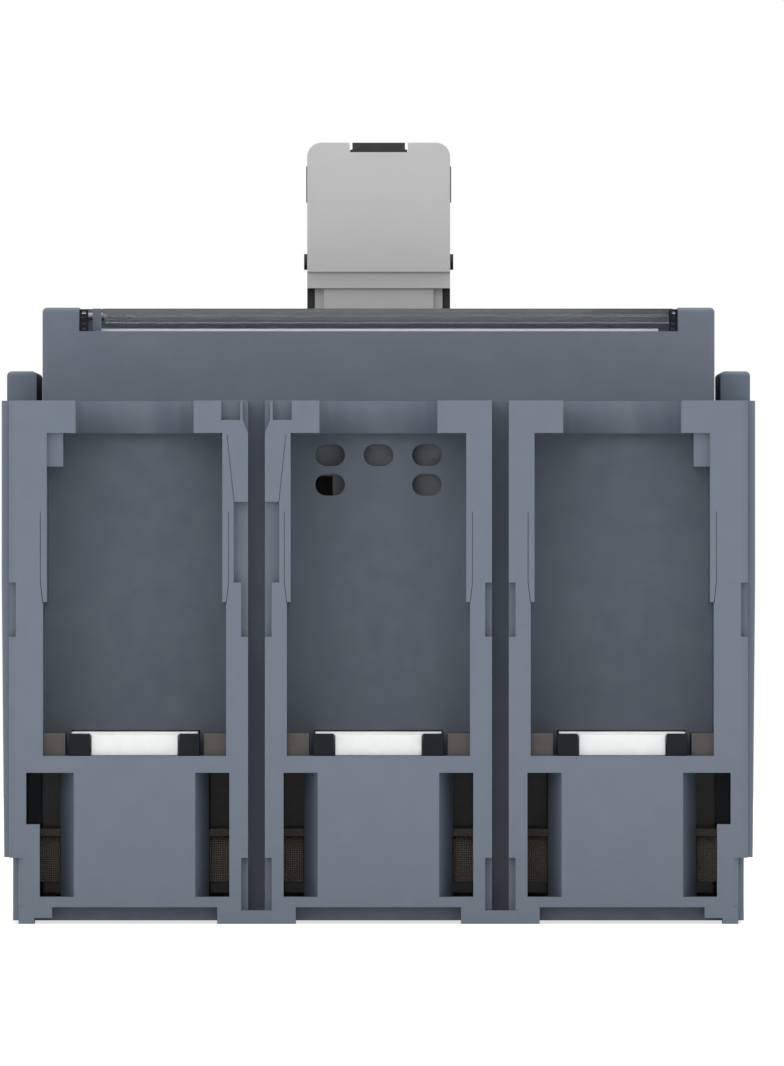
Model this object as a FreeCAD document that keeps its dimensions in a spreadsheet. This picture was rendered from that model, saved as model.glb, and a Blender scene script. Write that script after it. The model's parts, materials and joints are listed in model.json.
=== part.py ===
import FreeCAD, Part
import os
import re
import Sketcher

# Three-pole moulded case circuit breaker lying on its back, in millimetres.
# +Z points out of its front, X runs across the poles, and -Y is the load end.
# The origin is the middle of the mounting plane, under the feet.

sizes_mm = {
    # Whole casing
    "pole_pitch": 45.0,
    "body_length": 248.0,
    "body_width": 139.3,
    "end_width": 136.3,
    "foot_width": 132.8,
    "sole_width": 135.0,
    "end_length": 12.0,
    "sole_set_back": 6.0,
    "split_height": 63.0,
    "cover_height": 96.6,
    "skirt_height": 12.2,
    "side_draft": 0.45,
    "foot_height": 3.1,
    "sole_gap": 0.6,
    "foot_length": 16.0,
    "corner_foot_width": 2.9,
    "corner_block_width": 6.2,
    "corner_block_bottom": 1.1,
    "pole_foot_width": 14.5,
    "casing_edge_radius": 1.2,
    # Walls and compartments
    "outer_wall": 3.5,
    "cover_roof": 3.6,
    "base_floor": 4.0,
    "pole_wall": 6.0,
    "well_depth": 38.0,
    "well_width": 33.8,
    "cover_well_width": 32.4,
    "well_back_wall": 4.0,
    "well_roof": 6.0,
    "notch_width": 21.8,
    "notch_length": 24.0,
    "lip_depth": 3.6,
    "lip_root": 1.1,
    "lip_tip": 0.7,
    "lip_gap": 0.1,
    "seam_height": 13.0,
    "seam_width": 0.15,
    "seam_depth": 0.3,
    "well_rib_width": 3.0,
    "well_rib_height": 6.2,
    "pocket_near": 3.0,
    "pocket_far": 6.5,
    "pocket_depth": 3.6,
    "pocket_step": 4.2,
    "pocket_step_height": 14.9,
    "mouth_width": 5.1,
    "mouth_depth": 6.0,
    "seam_top": 27.2,
    "seam_top_offset": 5.5,
    "vent_width": 5.5,
    "vent_height": 4.06,
    "vent_pitch": 8.98,
    "vent_upper_height": 86.6,
    "vent_lower_height": 81.1,
    # Terminals
    "terminal_height": 31.0,
    "terminal_thickness": 4.4,
    "terminal_width": 23.4,
    "terminal_tongue_width": 16.1,
    "terminal_tongue_length": 4.0,
    "terminal_tongue_drop": 0.5,
    "terminal_set_back": 2.0,
    "terminal_hole_radius": 5.4,
    "terminal_hole_inset": 19.0,
    "keeper_half_width": 12.0,
    "keeper_foot_height": 0.8,
    "keeper_set_back": 0.6,
    "keeper_foot_set_back": 1.6,
    "keeper_drop": 0.3,
    "spacer_half_width": 12.8,
    "spacer_drop": 0.2,
    "terminal_gap": 0.2,
    "nut_width": 16.0,
    "nut_height": 8.0,
    "nut_gap": 0.1,
    "nut_bore_radius": 4.25,
    "screw_room_depth": 13.0,
    # Exhaust slots
    "slot_near_edge": 11.2,
    "slot_inner_edge": 13.7,
    "slot_taper_depth": 9.0,
    "slot_far_edge": 17.5,
    "slot_wide_edge": 20.0,
    "slot_bottom": 5.0,
    "slot_top": 27.9,
    "slot_wide_bottom": 18.4,
    "grid_thickness": 1.4,
    "grid_bar_height": 16.1,
    "grid_set_back": 10.0,
    "grid_bar_depth": 4.0,
    "grid_plate_bottom": 7.6,
    # Phase-barrier channels and mounting holes
    "barrier_slot_width": 3.1,
    "barrier_slot_depth": 12.0,
    "barrier_groove_width": 5.6,
    "barrier_groove_depth": 3.0,
    "barrier_groove_height": 10.0,
    "mount_spacing": 200.0,
    "mount_hole_radius": 3.25,
    "mount_head_radius": 5.2,
    "mount_head_height": 80.0,
    "cover_screw_spacing": 148.0,
    "cover_screw_radius": 1.75,
    "cover_screw_head_radius": 3.2,
    "cover_screw_head_height": 2.6,
    "cover_screw_length": 48.0,
    "cover_pillar_radius": 4.5,
    # Chamber for the mechanism and the trip unit
    "chamber_margin": 10.5,
    "chamber_start": -64.0,
    "chamber_end": 62.0,
    # Side ribs of the cover
    "rib_width": 5.5,
    "rib_gap": 1.2,
    "rib_height": 102.3,
    "rib_length": 112.0,
    # Front cover
    "nose_width": 125.1,
    "nose_length": 132.0,
    "nose_height": 114.1,
    "nose_wall": 3.0,
    "nose_edge_radius": 0.9,
    "rail_width": 6.8,
    "recess_depth": 4.4,
    "recess_end": -24.0,
    "front_screw_radius": 1.5,
    "front_screw_head_radius": 2.9,
    "front_screw_head_height": 2.2,
    "front_screw_sink": 0.4,
    "front_screw_length": 26.0,
    "front_screw_inset": 5.4,
    "front_screw_near_y": -17.5,
    "front_screw_far_y": 59.0,
    "front_pillar_radius": 4.4,
    "label_thickness": 0.5,
    "label_margin": 3.6,
    "label_gap": 0.2,
    "label_set_back": 4.5,
    # Clear flap over the dials
    "flap_thickness": 1.0,
    "flap_left_gap": 4.4,
    "flap_right_gap": 1.0,
    "flap_set_back": 4.0,
    "flap_axis_inset": 1.7,
    "flap_axis_height": 112.7,
    "flap_barrel_radius": 1.25,
    "flap_pin_radius": 0.8,
    "flap_pin_gap": 0.05,
    "flap_pin_inset": 0.3,
    "recess_rib_x": 25.4,
    "recess_rib_width": 0.6,
    "recess_rib_height": 1.4,
    "eyelet_height": 4.0,
    "eyelet_length": 3.0,
    "eyelet_width": 1.6,
    "eyelet_set_back": 0.5,
    "eyelet_gap": 0.1,
    "eyelet_hole_width": 0.8,
    "eyelet_hole_height": 0.5,
    "eyelet_pitch": 1.0,
    "eyelet_rows": 4,
    "catch_width": 1.6,
    "catch_gap": 0.3,
    "catch_length": 4.0,
    # Handle
    "handle_y": 14.0,
    "handle_pivot_height": 62.0,
    "handle_height": 145.6,
    "handle_width": 26.9,
    "handle_depth": 15.0,
    "handle_core_depth": 5.0,
    "handle_core_lip": 0.2,
    "handle_pad_drop": 4.4,
    "handle_pad_height": 6.8,
    "handle_lock_rise": 1.9,
    "handle_lock_radius": 1.5,
    "handle_lock_reach": 0.6,
    "handle_face_bottom": 121.3,
    "handle_collar_bottom": 118.2,
    "handle_collar_set_back": 0.8,
    "handle_shoulder_width": 24.0,
    "handle_neck_width": 20.6,
    "handle_neck_set_back": 1.6,
    "handle_corner_radius": 2.7,
    "handle_insert_width": 10.8,
    "handle_insert_shoulder": 0.45,
    "handle_insert_flange": 0.5,
    "handle_insert_set_back": 0.2,
    "handle_insert_height": 1.8,
    "handle_insert_gap": 0.1,
    "handle_crown_drop": 0.4,
    "handle_slot_width": 28.2,
    "handle_slot_length": 57.0,
    "shield_outer_radius": 47.8,
    "shield_thickness": 1.5,
    "shield_width": 30.6,
    "shield_half_angle": 52.0,
    "yoke_gap": 0.8,
    "yoke_thickness": 1.5,
    "yoke_foot_width": 10.0,
    "yoke_chamfer": 2.0,
    "yoke_top_width": 14.0,
    "yoke_top_height": 100.0,
    "pivot_pin_radius": 2.5,
    "pin_gap": 0.05,
    "pin_overhang": 0.6,
    # Mechanism
    "plate_inner_x": 14.0,
    "plate_thickness": 1.5,
    "plate_foot_height": 52.0,
    "plate_foot_start": -12.0,
    "plate_foot_end": 40.0,
    "plate_top_height": 86.0,
    "plate_rib_length": 6.0,
    "plate_rib_lip": 1.0,
    "plate_shoulder": 2.0,
    "plate_rise": 6.0,
    "plate_top_reach": 15.0,
    "plate_latch_reach": 8.0,
    "plate_latch_foot": 5.0,
    "plate_nose_reach": 4.0,
    "plate_nose_rise": 1.0,
    "spacer_pin_inset": 4.0,
    "spacer_pin_radius": 1.6,
    "cradle_thickness": 1.2,
    "cradle_gap": 0.8,
    "cradle_pivot_y": 36.0,
    "cradle_pivot_height": 68.0,
    "cradle_pin_radius": 2.0,
    "cradle_tip_y": -8.0,
    "cradle_tip_height": 78.0,
    "cradle_tip_radius": 1.5,
    "cradle_tip_reach": 2.4,
    "cradle_tip_above": 2.0,
    "cradle_tip_below": 2.6,
    "cradle_eye": 4.0,
    "cradle_back": 6.0,
    "cradle_neck": 1.0,
    "cradle_belly": 4.6,
    "latch_pivot_y": -18.0,
    "latch_pivot_height": 64.0,
    "latch_pin_radius": 2.0,
    "latch_width": 10.0,
    "latch_gap": 0.4,
    "latch_foot": 3.4,
    "latch_stem_back": 4.6,
    "latch_stem_thickness": 1.8,
    "latch_hook_reach": 1.0,
    "latch_hook_thickness": 1.4,
    "latch_crown_thickness": 2.1,
    "trip_bar_y": -26.0,
    "trip_bar_height": 74.0,
    "trip_bar_radius": 2.5,
    "trip_bar_end": 44.0,
    "trip_bar_overhang": 2.0,
    "trip_finger_width": 6.0,
    "trip_finger_gap": 0.6,
    "trip_finger_thickness": 3.2,
    "trip_finger_reach": 3.0,
    "trip_finger_root": 2.0,
    "trip_finger_heel": 1.0,
    "trip_finger_shoulder": 1.6,
    "trip_finger_flat": 1.8,
    "trip_paddle_thickness": 2.4,
    "trip_paddle_rise": 3.0,
    "link_pin_y": 20.0,
    "link_pin_height": 72.4,
    "toggle_y": 5.5,
    "toggle_height": 69.5,
    "link_thickness": 1.2,
    "upper_link_x": 8.4,
    "lower_link_x": 10.2,
    "link_eye_radius": 3.2,
    "link_half_width": 2.56,
    "link_pin_radius": 1.6,
    "link_gap": 0.2,
    "toggle_play": 0.4,
    "spring_x": 4.2,
    "spring_radius": 3.0,
    "spring_wire": 0.9,
    "spring_start_gap": 0.5,
    "spring_end_gap": 1.1,
    "spring_coils": 5,
    # Contact rotors
    "rotor_y": 14.0,
    "rotor_height": 33.0,
    "rotor_radius": 17.0,
    "rotor_width": 18.0,
    "hub_radius": 8.0,
    "hub_gap": 0.05,
    "hub_depth": 2.6,
    "cap_gap": 0.3,
    "rod_radius": 1.7,
    "rod_offset": 5.6,
    "drive_pin_y": 2.96,
    "drive_pin_height": 36.22,
    "drive_pin_gap": 0.5,
    "contact_reach": 33.0,
    "contact_width": 8.0,
    "contact_thickness": 7.0,
    "contact_tip_thickness": 2.8,
    "contact_tip_root": 3.8,
    "contact_tip_length": 8.0,
    "contact_gap": 0.3,
    "open_angle": 20.0,
    # Arc chutes and current transformers
    "chute_board_x": 17.6,
    "chute_board_thickness": 1.6,
    "chute_gap": 7.0,
    "chute_start": 34.0,
    "chute_plate_thickness": 1.2,
    "chute_plate_pitch": 3.8,
    "chute_notch_width": 12.0,
    "chute_notch_depth": 12.0,
    "line_chute_height": 34.6,
    "load_chute_height": 60.0,
    "line_chute_plates": 7,
    "load_chute_plates": 6,
    "bar_jog_start": -54.0,
    "bar_jog_end": -50.0,
    "line_jog_gap": 1.0,
    "line_jog_length": 4.0,
    "transformer_width": 37.0,
    "transformer_height": 60.0,
    "transformer_gap": 4.0,
    "transformer_end": -54.5,
    "transformer_hole_width": 28.0,
    "transformer_hole_margin": 3.0,
    # Trip unit
    "unit_margin": 12.5,
    "unit_start": -62.0,
    "unit_end": -36.0,
    "unit_top": 105.9,
    "unit_wall": 2.0,
    "pod_half_width": 14.0,
    "pod_bottom": 76.0,
    "pod_top": 91.0,
    "pod_gap": 0.4,
    "pod_notch_x": -8.6,
    "pod_notch_top": 82.7,
    "board_height": 92.0,
    "board_thickness": 1.6,
    "board_gap": 0.1,
    "solenoid_x": 25.0,
    "solenoid_height": 81.0,
    "solenoid_radius": 8.0,
    "solenoid_length": 20.0,
    "plunger_radius": 2.0,
    "plunger_tip": -30.8,
    "plunger_length": 16.0,
    "plunger_gap": 0.5,
    "dial_pitch": 24.0,
    "dial_y": -46.0,
    "dial_radius": 5.0,
    "dial_hole_gap": 0.4,
    "dial_stem_radius": 2.5,
    "dial_stem_length": 5.0,
    "dial_top": 109.9,
    "dial_slot_width": 1.4,
    "dial_slot_depth": 1.2,
    "dial_slot_reach": 3.5,
    "dial_lift": 0.2,
    "chamfer": 0.4,
    # Trip button
    "button_x": 38.0,
    "button_y": -14.0,
    "button_radius": 3.3,
    "button_hole_gap": 0.3,
    "button_flange_radius": 4.9,
    "button_flange_height": 3.0,
    "button_stem_radius": 1.5,
    "button_stem_bottom": 84.0,
    "button_boss_radius": 7.0,
    "button_boss_bore": 5.2,
    "button_boss_bottom": 97.0,
    "button_retainer_thickness": 2.0,
    "button_proud": 0.6,
    "button_coil_radius": 3.3,
    "button_coils": 4,
    "flange_gap": 0.2,
}

doc = FreeCAD.newDocument("circuit_breaker")
sheet = doc.addObject("Spreadsheet::Sheet", "Sizes")
for row, (alias, value) in enumerate(sizes_mm.items(), 1):
    sheet.set(f"A{row}", alias.replace("_", " "))
    sheet.set(f"B{row}", str(value))
    sheet.setAlias(f"B{row}", alias)
doc.recompute()

poles = {"left": -1, "middle": 0, "right": 1}
ends = {"load": -1, "line": 1}
along = {
    "x": FreeCAD.Rotation(FreeCAD.Vector(0, 1, 0), 90),
    "y": FreeCAD.Rotation(FreeCAD.Vector(1, 0, 0), -90),
    "z": FreeCAD.Rotation(),
}
word = re.compile("[a-z][a-z_]*")
nodes = []
upright_slope = 0.02
near_mm = 0.1


# Turn a formula in the names of the sheet into one that FreeCAD reads
def size(text):
    def named(found):
        return "Sizes." + found.group() if found.group() in sizes_mm else found.group()

    return word.sub(named, text)


def bind(thing, what, text):
    thing.setExpression(what, size(str(text)))


def place(thing, x=None, y=None, z=None):
    for axis, text in zip("xyz", (x, y, z)):
        if text is not None:
            bind(thing, f"Placement.Base.{axis}", text)
    return thing


# A block between two faces along each axis
def box(name, x, y, z):
    block = doc.addObject("Part::Box", name)
    for side, axis, (low, high) in zip(("Length", "Width", "Height"), "xyz", (x, y, z)):
        bind(block, side, f"({high}) - ({low})")
        bind(block, f"Placement.Base.{axis}", low)
    return block


# A cylinder: the value for its own axis is a pair, its two end faces
def rod(name, axis, radius, x, y, z):
    cylinder = doc.addObject("Part::Cylinder", name)
    cylinder.Placement.Rotation = along[axis]
    centre = {"x": x, "y": y, "z": z}
    low, high = centre[axis]
    centre[axis] = low
    bind(cylinder, "Radius", radius)
    bind(cylinder, "Height", f"({high}) - ({low})")
    return place(cylinder, centre["x"], centre["y"], centre["z"])


# An upright cone between two heights
def cone(name, low_radius, high_radius, x, y, z):
    frustum = doc.addObject("Part::Cone", name)
    low, high = z
    bind(frustum, "Radius1", low_radius)
    bind(frustum, "Radius2", high_radius)
    bind(frustum, "Height", f"({high}) - ({low})")
    return place(frustum, x, y, low)


def join(name, pieces):
    whole = doc.addObject("Part::MultiFuse", name)
    whole.Shapes = pieces
    return whole


def cut(name, solid, tools):
    tool = tools[0] if len(tools) == 1 else join(name + "_cuts", tools)
    rest = doc.addObject("Part::Cut", name)
    rest.Base = solid
    rest.Tool = tool
    return rest


def common(name, first, second):
    both = doc.addObject("Part::Common", name)
    both.Base = first
    both.Tool = second
    return both


# Separate solids that share one node
def group(name, pieces):
    cluster = doc.addObject("Part::Compound", name)
    cluster.Links = pieces
    return cluster


def node(label, thing):
    thing.Label = label
    nodes.append(thing)
    return thing


def origin_plane(body, role):
    return next(plane for plane in body.Origin.OriginFeatures if plane.Role == role)


def add_sketch(body, name, role, offset):
    sketch = body.newObject("Sketcher::SketchObject", name)
    sketch.AttachmentSupport = [(origin_plane(body, role), "")]
    sketch.MapMode = "FlatFace"
    bind(sketch, "AttachmentOffset.Base.z", offset)
    return sketch


# A closed outline of straight sides, each corner held by two formulas
def draw_outline(sketch, points):
    first = sketch.GeometryCount
    count = len(points)
    for index in range(count):
        start = FreeCAD.Vector(index, index ** 2 / count, 0)
        following = (index + 1) % count
        sketch.addGeometry(Part.LineSegment(start, FreeCAD.Vector(following, following ** 2 / count, 0)))
    for index in range(count):
        following = first + (index + 1) % count
        sketch.addConstraint(Sketcher.Constraint("Coincident", first + index, 2, following, 1))
    for index, corner in enumerate(points):
        for direction, text in zip(("DistanceX", "DistanceY"), corner):
            held = sketch.addConstraint(Sketcher.Constraint(direction, -1, 1, first + index, 1, 1.0))
            bind(sketch, f"Constraints[{held}]", text)


def draw_circle(sketch, centre, radius):
    ring = sketch.addGeometry(Part.Circle(FreeCAD.Vector(1, 1, 0), FreeCAD.Vector(0, 0, 1), 1))
    for direction, text in zip(("DistanceX", "DistanceY"), centre):
        held = sketch.addConstraint(Sketcher.Constraint(direction, -1, 1, ring, 3, 1.0))
        bind(sketch, f"Constraints[{held}]", text)
    held = sketch.addConstraint(Sketcher.Constraint("Radius", ring, 1.0))
    bind(sketch, f"Constraints[{held}]", radius)


# A flat piece: an outline with round holes, padded along the plane's normal
def plate(name, role, points, start, thickness, holes=()):
    body = doc.addObject("PartDesign::Body", name)
    sketch = add_sketch(body, name + "_outline", role, start)
    draw_outline(sketch, points)
    for centre, radius in holes:
        draw_circle(sketch, centre, radius)
    pad = body.newObject("PartDesign::Pad", name + "_pad")
    pad.Profile = sketch
    bind(pad, "Length", thickness)
    return body


# A turned piece: a half outline in X and Z, revolved about its upright axis
def turned(name, points):
    body = doc.addObject("PartDesign::Body", name)
    sketch = add_sketch(body, name + "_profile", "XZ_Plane", "0")
    draw_outline(sketch, points)
    spin = body.newObject("PartDesign::Revolution", name + "_turn")
    spin.Profile = sketch
    spin.ReferenceAxis = (next(line for line in body.Origin.OriginFeatures if line.Role == "Z_Axis"), [""])
    spin.Angle = 360
    return body


def edges_of(shape, wanted):
    return [f"Edge{number}" for number, edge in enumerate(shape.Edges, 1) if wanted(edge)]


def is_upright(edge):
    ends_of_edge = [vertex.Point for vertex in edge.Vertexes]
    if len(ends_of_edge) != 2:
        return False
    span = ends_of_edge[1] - ends_of_edge[0]
    return abs(span.x) + abs(span.y) < upright_slope * abs(span.z)


# Round the chosen edges of a body
def round_edges(body, radius, wanted):
    doc.recompute()
    base = body.Tip
    rounded = body.newObject("PartDesign::Fillet", body.Name + "_rounding")
    rounded.Base = (base, edges_of(base.Shape, wanted))
    bind(rounded, "Radius", radius)
    return body


# A block with some of its edges rounded
def rounded_block(name, x, y, z, radius, wanted):
    corners = [(x[0], y[0]), (x[1], y[0]), (x[1], y[1]), (x[0], y[1])]
    return round_edges(plate(name, "XY_Plane", corners, z[0], f"({z[1]}) - ({z[0]})"), radius, wanted)


# The same span on the -X and on the +X side
def both_sides(low, high):
    return (f"-({high})", f"-({low})"), (low, high)


def pole_x(pole):
    return f"{poles[pole]} * pole_pitch"


compartment_half = "(pole_pitch - pole_wall) / 2"
well_start = "body_length / 2 - well_depth"
room_end = "body_length / 2 - well_depth - well_back_wall"
floor_top = "sole_gap + base_floor"
beyond = "1"


# A span along Y measured outwards, at the load or the line end
def end_span(end, inner, outer):
    return (inner, outer) if end == "line" else (f"-({outer})", f"-({inner})")


# A span given from its inner to its outer face, on the -X or the +X side
def ordered(side, inner, outer):
    return (inner, outer) if side > 0 else (outer, inner)


def pole_span(pole, half):
    return f"{pole_x(pole)} - ({half})", f"{pole_x(pole)} + ({half})"


def channel_span(side, half):
    return f"{side} * pole_pitch / 2 - ({half})", f"{side} * pole_pitch / 2 + ({half})"


# Grooves in the end faces that take phase barriers between the poles
def barrier_channels(name, low, high):
    return [
        box(f"{name}_channel_{end}_{number}", channel_span(side, "barrier_slot_width / 2"),
            end_span(end, "body_length / 2 - barrier_slot_depth", f"body_length / 2 + {beyond}"), (low, high))
        for end in ends for number, side in enumerate((-1, 1))
    ]


# A block of the casing, centred on the origin, with rounded upright corners
def casing_block(name, width, reach, heights):
    return rounded_block(name, (f"-{width} / 2", f"{width} / 2"), (f"-({reach})", reach), heights,
                         "casing_edge_radius", is_upright)


# Moulded base
def base_housing():
    drafted = plate("base_middle", "XZ_Plane", [
        ("-body_width / 2", "split_height"), ("-body_width / 2 + side_draft", "skirt_height"),
        ("body_width / 2 - side_draft", "skirt_height"), ("body_width / 2", "split_height")],
        "-body_length / 2 + end_length", "body_length - 2 * end_length")
    shell = [
        round_edges(drafted, "casing_edge_radius", is_upright),
        casing_block("base_ends", "end_width", "body_length / 2", ("skirt_height", "split_height")),
        casing_block("base_skirt", "foot_width", "body_length / 2", ("foot_height", "skirt_height")),
        casing_block("base_sole", "sole_width", "body_length / 2 - sole_set_back",
                     ("sole_gap", "skirt_height")),
    ]
    feet = []
    for end in ends:
        reach = end_span(end, "body_length / 2 - foot_length", "body_length / 2")
        for side in (-1, 1):
            feet.append(box(f"pole_foot_{end}_{side + 1}", channel_span(side, "pole_foot_width / 2"),
                            reach, ("0", "foot_height")))
        for number, span in enumerate(both_sides("foot_width / 2 - corner_foot_width", "foot_width / 2")):
            feet.append(box(f"corner_foot_{end}_{number}", span, reach, ("0", "foot_height")))
        for number, span in enumerate(both_sides("foot_width / 2 - corner_block_width", "foot_width / 2")):
            feet.append(box(f"corner_block_{end}_{number}", span, reach,
                            ("corner_block_bottom", "foot_height")))
    ribs = []
    spans = both_sides("plate_inner_x - plate_rib_lip", f"{compartment_half} + {beyond}")
    for number, span in enumerate(spans):
        for place_name, start in (("near", "plate_foot_start"), ("far", "plate_foot_end - plate_rib_length")):
            ribs.append(box(f"frame_rib_{place_name}_{number}", span, (start, f"{start} + plate_rib_length"),
                            ("skirt_height / 3", "plate_foot_height")))
    cuts = barrier_channels("base", "foot_height - sole_gap", f"split_height + {beyond}")
    for pole in poles:
        cuts.append(box(f"room_{pole}", pole_span(pole, compartment_half),
                        (f"-({room_end})", room_end), (floor_top, f"split_height + {beyond}")))
        for end in ends:
            cuts += pole_end_cuts(pole, end)
            cuts.append(lip_prism(f"lip_groove_{pole}_{end}", pole, end, "lip_gap", beyond))
    for end in ends:
        cuts += groove_cuts(end)
        for number, side in enumerate((-1, 1)):
            cuts.append(rod(f"mount_hole_{end}_{number}", "z", "mount_hole_radius",
                            f"{side} * pole_pitch / 2", f"{ends[end]} * mount_spacing / 2",
                            (f"-{beyond}", f"split_height + {beyond}")))
            cuts.append(rod(f"cover_screw_hole_{end}_{number}", "z", "cover_screw_radius",
                            f"{side} * pole_pitch / 2", f"{ends[end]} * cover_screw_spacing / 2",
                            (f"cover_height - cover_screw_length - {beyond}", f"split_height + {beyond}")))
    bearing = f"pole_pitch + {compartment_half} + hub_depth + hub_gap"
    cuts.append(box("bearing_slot", (f"-({bearing})", bearing),
                    ("rotor_y - hub_radius - hub_gap", "rotor_y + hub_radius + hub_gap"),
                    ("rotor_height", f"split_height + {beyond}")))
    cuts.append(rod("bearing_seat", "x", "hub_radius + hub_gap", (f"-({bearing})", bearing),
                    "rotor_y", "rotor_height"))
    hollow = cut("base_hollow", join("base_with_feet", shell + feet), cuts)
    return join("base_whole", [hollow] + ribs)


# Where the cover's well walls reach down inside the base's, wider by a gap for the base
def lip_prism(name, pole, end, gap, above):
    root = f"(cover_well_width / 2 + lip_root + {gap})"
    tip = f"(cover_well_width / 2 + lip_tip + {gap})"
    low = f"split_height - lip_depth - {gap}"
    high = f"split_height + {above}"
    outline = [(f"{pole_x(pole)} - {tip}", low), (f"{pole_x(pole)} + {tip}", low),
               (f"{pole_x(pole)} + {root}", "split_height"), (f"{pole_x(pole)} + {root}", high),
               (f"{pole_x(pole)} - {root}", high), (f"{pole_x(pole)} - {root}", "split_height")]
    inner, outer = end_span(end, f"{well_start} + lip_gap - {gap}", f"body_length / 2 + {gap} * 10")
    return plate(name, "XZ_Plane", outline, f"-({outer})", f"({outer}) - ({inner})")


# Where a keeper lies in front of the terminal bar's shoulders
def keeper_reach(end, set_back):
    shoulder = "body_length / 2 - terminal_set_back - terminal_tongue_length"
    return end_span(end, f"{shoulder} + terminal_gap", f"body_length / 2 - {set_back}")


# The well, the ledge's nut pocket and the exhaust slots at one end of a pole
def pole_end_cuts(pole, end):
    tag = f"{pole}_{end}"
    outside = f"body_length / 2 + {beyond}"
    hole_y = f"{ends[end]} * (body_length / 2 - terminal_hole_inset)"
    cuts = [
        box(f"well_{tag}", pole_span(pole, "well_width / 2"), end_span(end, well_start, outside),
            ("terminal_height", f"split_height + {beyond}")),
        box(f"bar_slot_{tag}", pole_span(pole, "terminal_width / 2 + terminal_gap"),
            end_span(end, f"{room_end} - {beyond}", f"{well_start} + {beyond}"),
            ("terminal_height", "terminal_height + terminal_thickness + terminal_gap")),
        box(f"nut_pocket_{tag}", pole_span(pole, "nut_width / 2 + nut_gap"),
            (f"{hole_y} - nut_width / 2 - nut_gap", f"{hole_y} + nut_width / 2 + nut_gap"),
            ("terminal_height - nut_height", f"terminal_height + {beyond}")),
        rod(f"screw_room_{tag}", "z", "terminal_hole_radius", pole_x(pole), hole_y,
            ("terminal_height - nut_height - screw_room_depth", "terminal_height")),
        box(f"keeper_pocket_{tag}", pole_span(pole, "keeper_half_width"),
            keeper_reach(end, "keeper_foot_set_back"),
            ("terminal_height - keeper_foot_height", f"terminal_height + {beyond}")),
    ]
    face = "body_length / 2"
    for side in (-1, 1):
        outline = [("slot_near_edge", f"{face} + {beyond}"), ("slot_near_edge", face),
                   ("slot_inner_edge", f"{face} - slot_taper_depth"),
                   ("slot_inner_edge", f"{room_end} - {beyond}"), ("slot_far_edge", f"{room_end} - {beyond}"),
                   ("slot_far_edge", f"{face} + {beyond}")]
        outline = [(f"{pole_x(pole)} + {side} * {x}", f"{ends[end]} * ({y})") for x, y in outline]
        cuts.append(plate(f"slot_{tag}_{side + 1}", "XY_Plane", outline,
                          "slot_bottom", "slot_top - slot_bottom"))
        if poles[pole] == side:
            span = ordered(side, f"{pole_x(pole)} + {side} * (slot_far_edge - {beyond})",
                           f"{pole_x(pole)} + {side} * slot_wide_edge")
            cuts.append(box(f"wide_slot_{tag}", span, end_span(end, well_start, outside),
                            ("slot_wide_bottom", "slot_top")))
    return cuts


# Wider mouths of the barrier channels, and the notches in the outer walls
def groove_cuts(end):
    depth = end_span(end, "body_length / 2 - barrier_groove_depth", f"body_length / 2 + {beyond}")
    heights = {
        "upper": ("split_height - barrier_groove_height", f"split_height + {beyond}"),
        "lower": ("foot_height - sole_gap", "skirt_height"),
    }
    cuts = []
    for level, span in heights.items():
        for number, side in enumerate((-1, 1)):
            cuts.append(box(f"groove_{level}_{end}_{number}", channel_span(side, "barrier_groove_width / 2"),
                            depth, span))
    lip = "(barrier_groove_width - barrier_slot_width) / 2"
    for number, span in enumerate(both_sides(f"end_width / 2 - {lip}", f"end_width / 2 + {beyond}")):
        cuts.append(box(f"side_notch_{end}_{number}", span, depth, heights["upper"]))
    return cuts


node("base_housing", base_housing())


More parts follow.
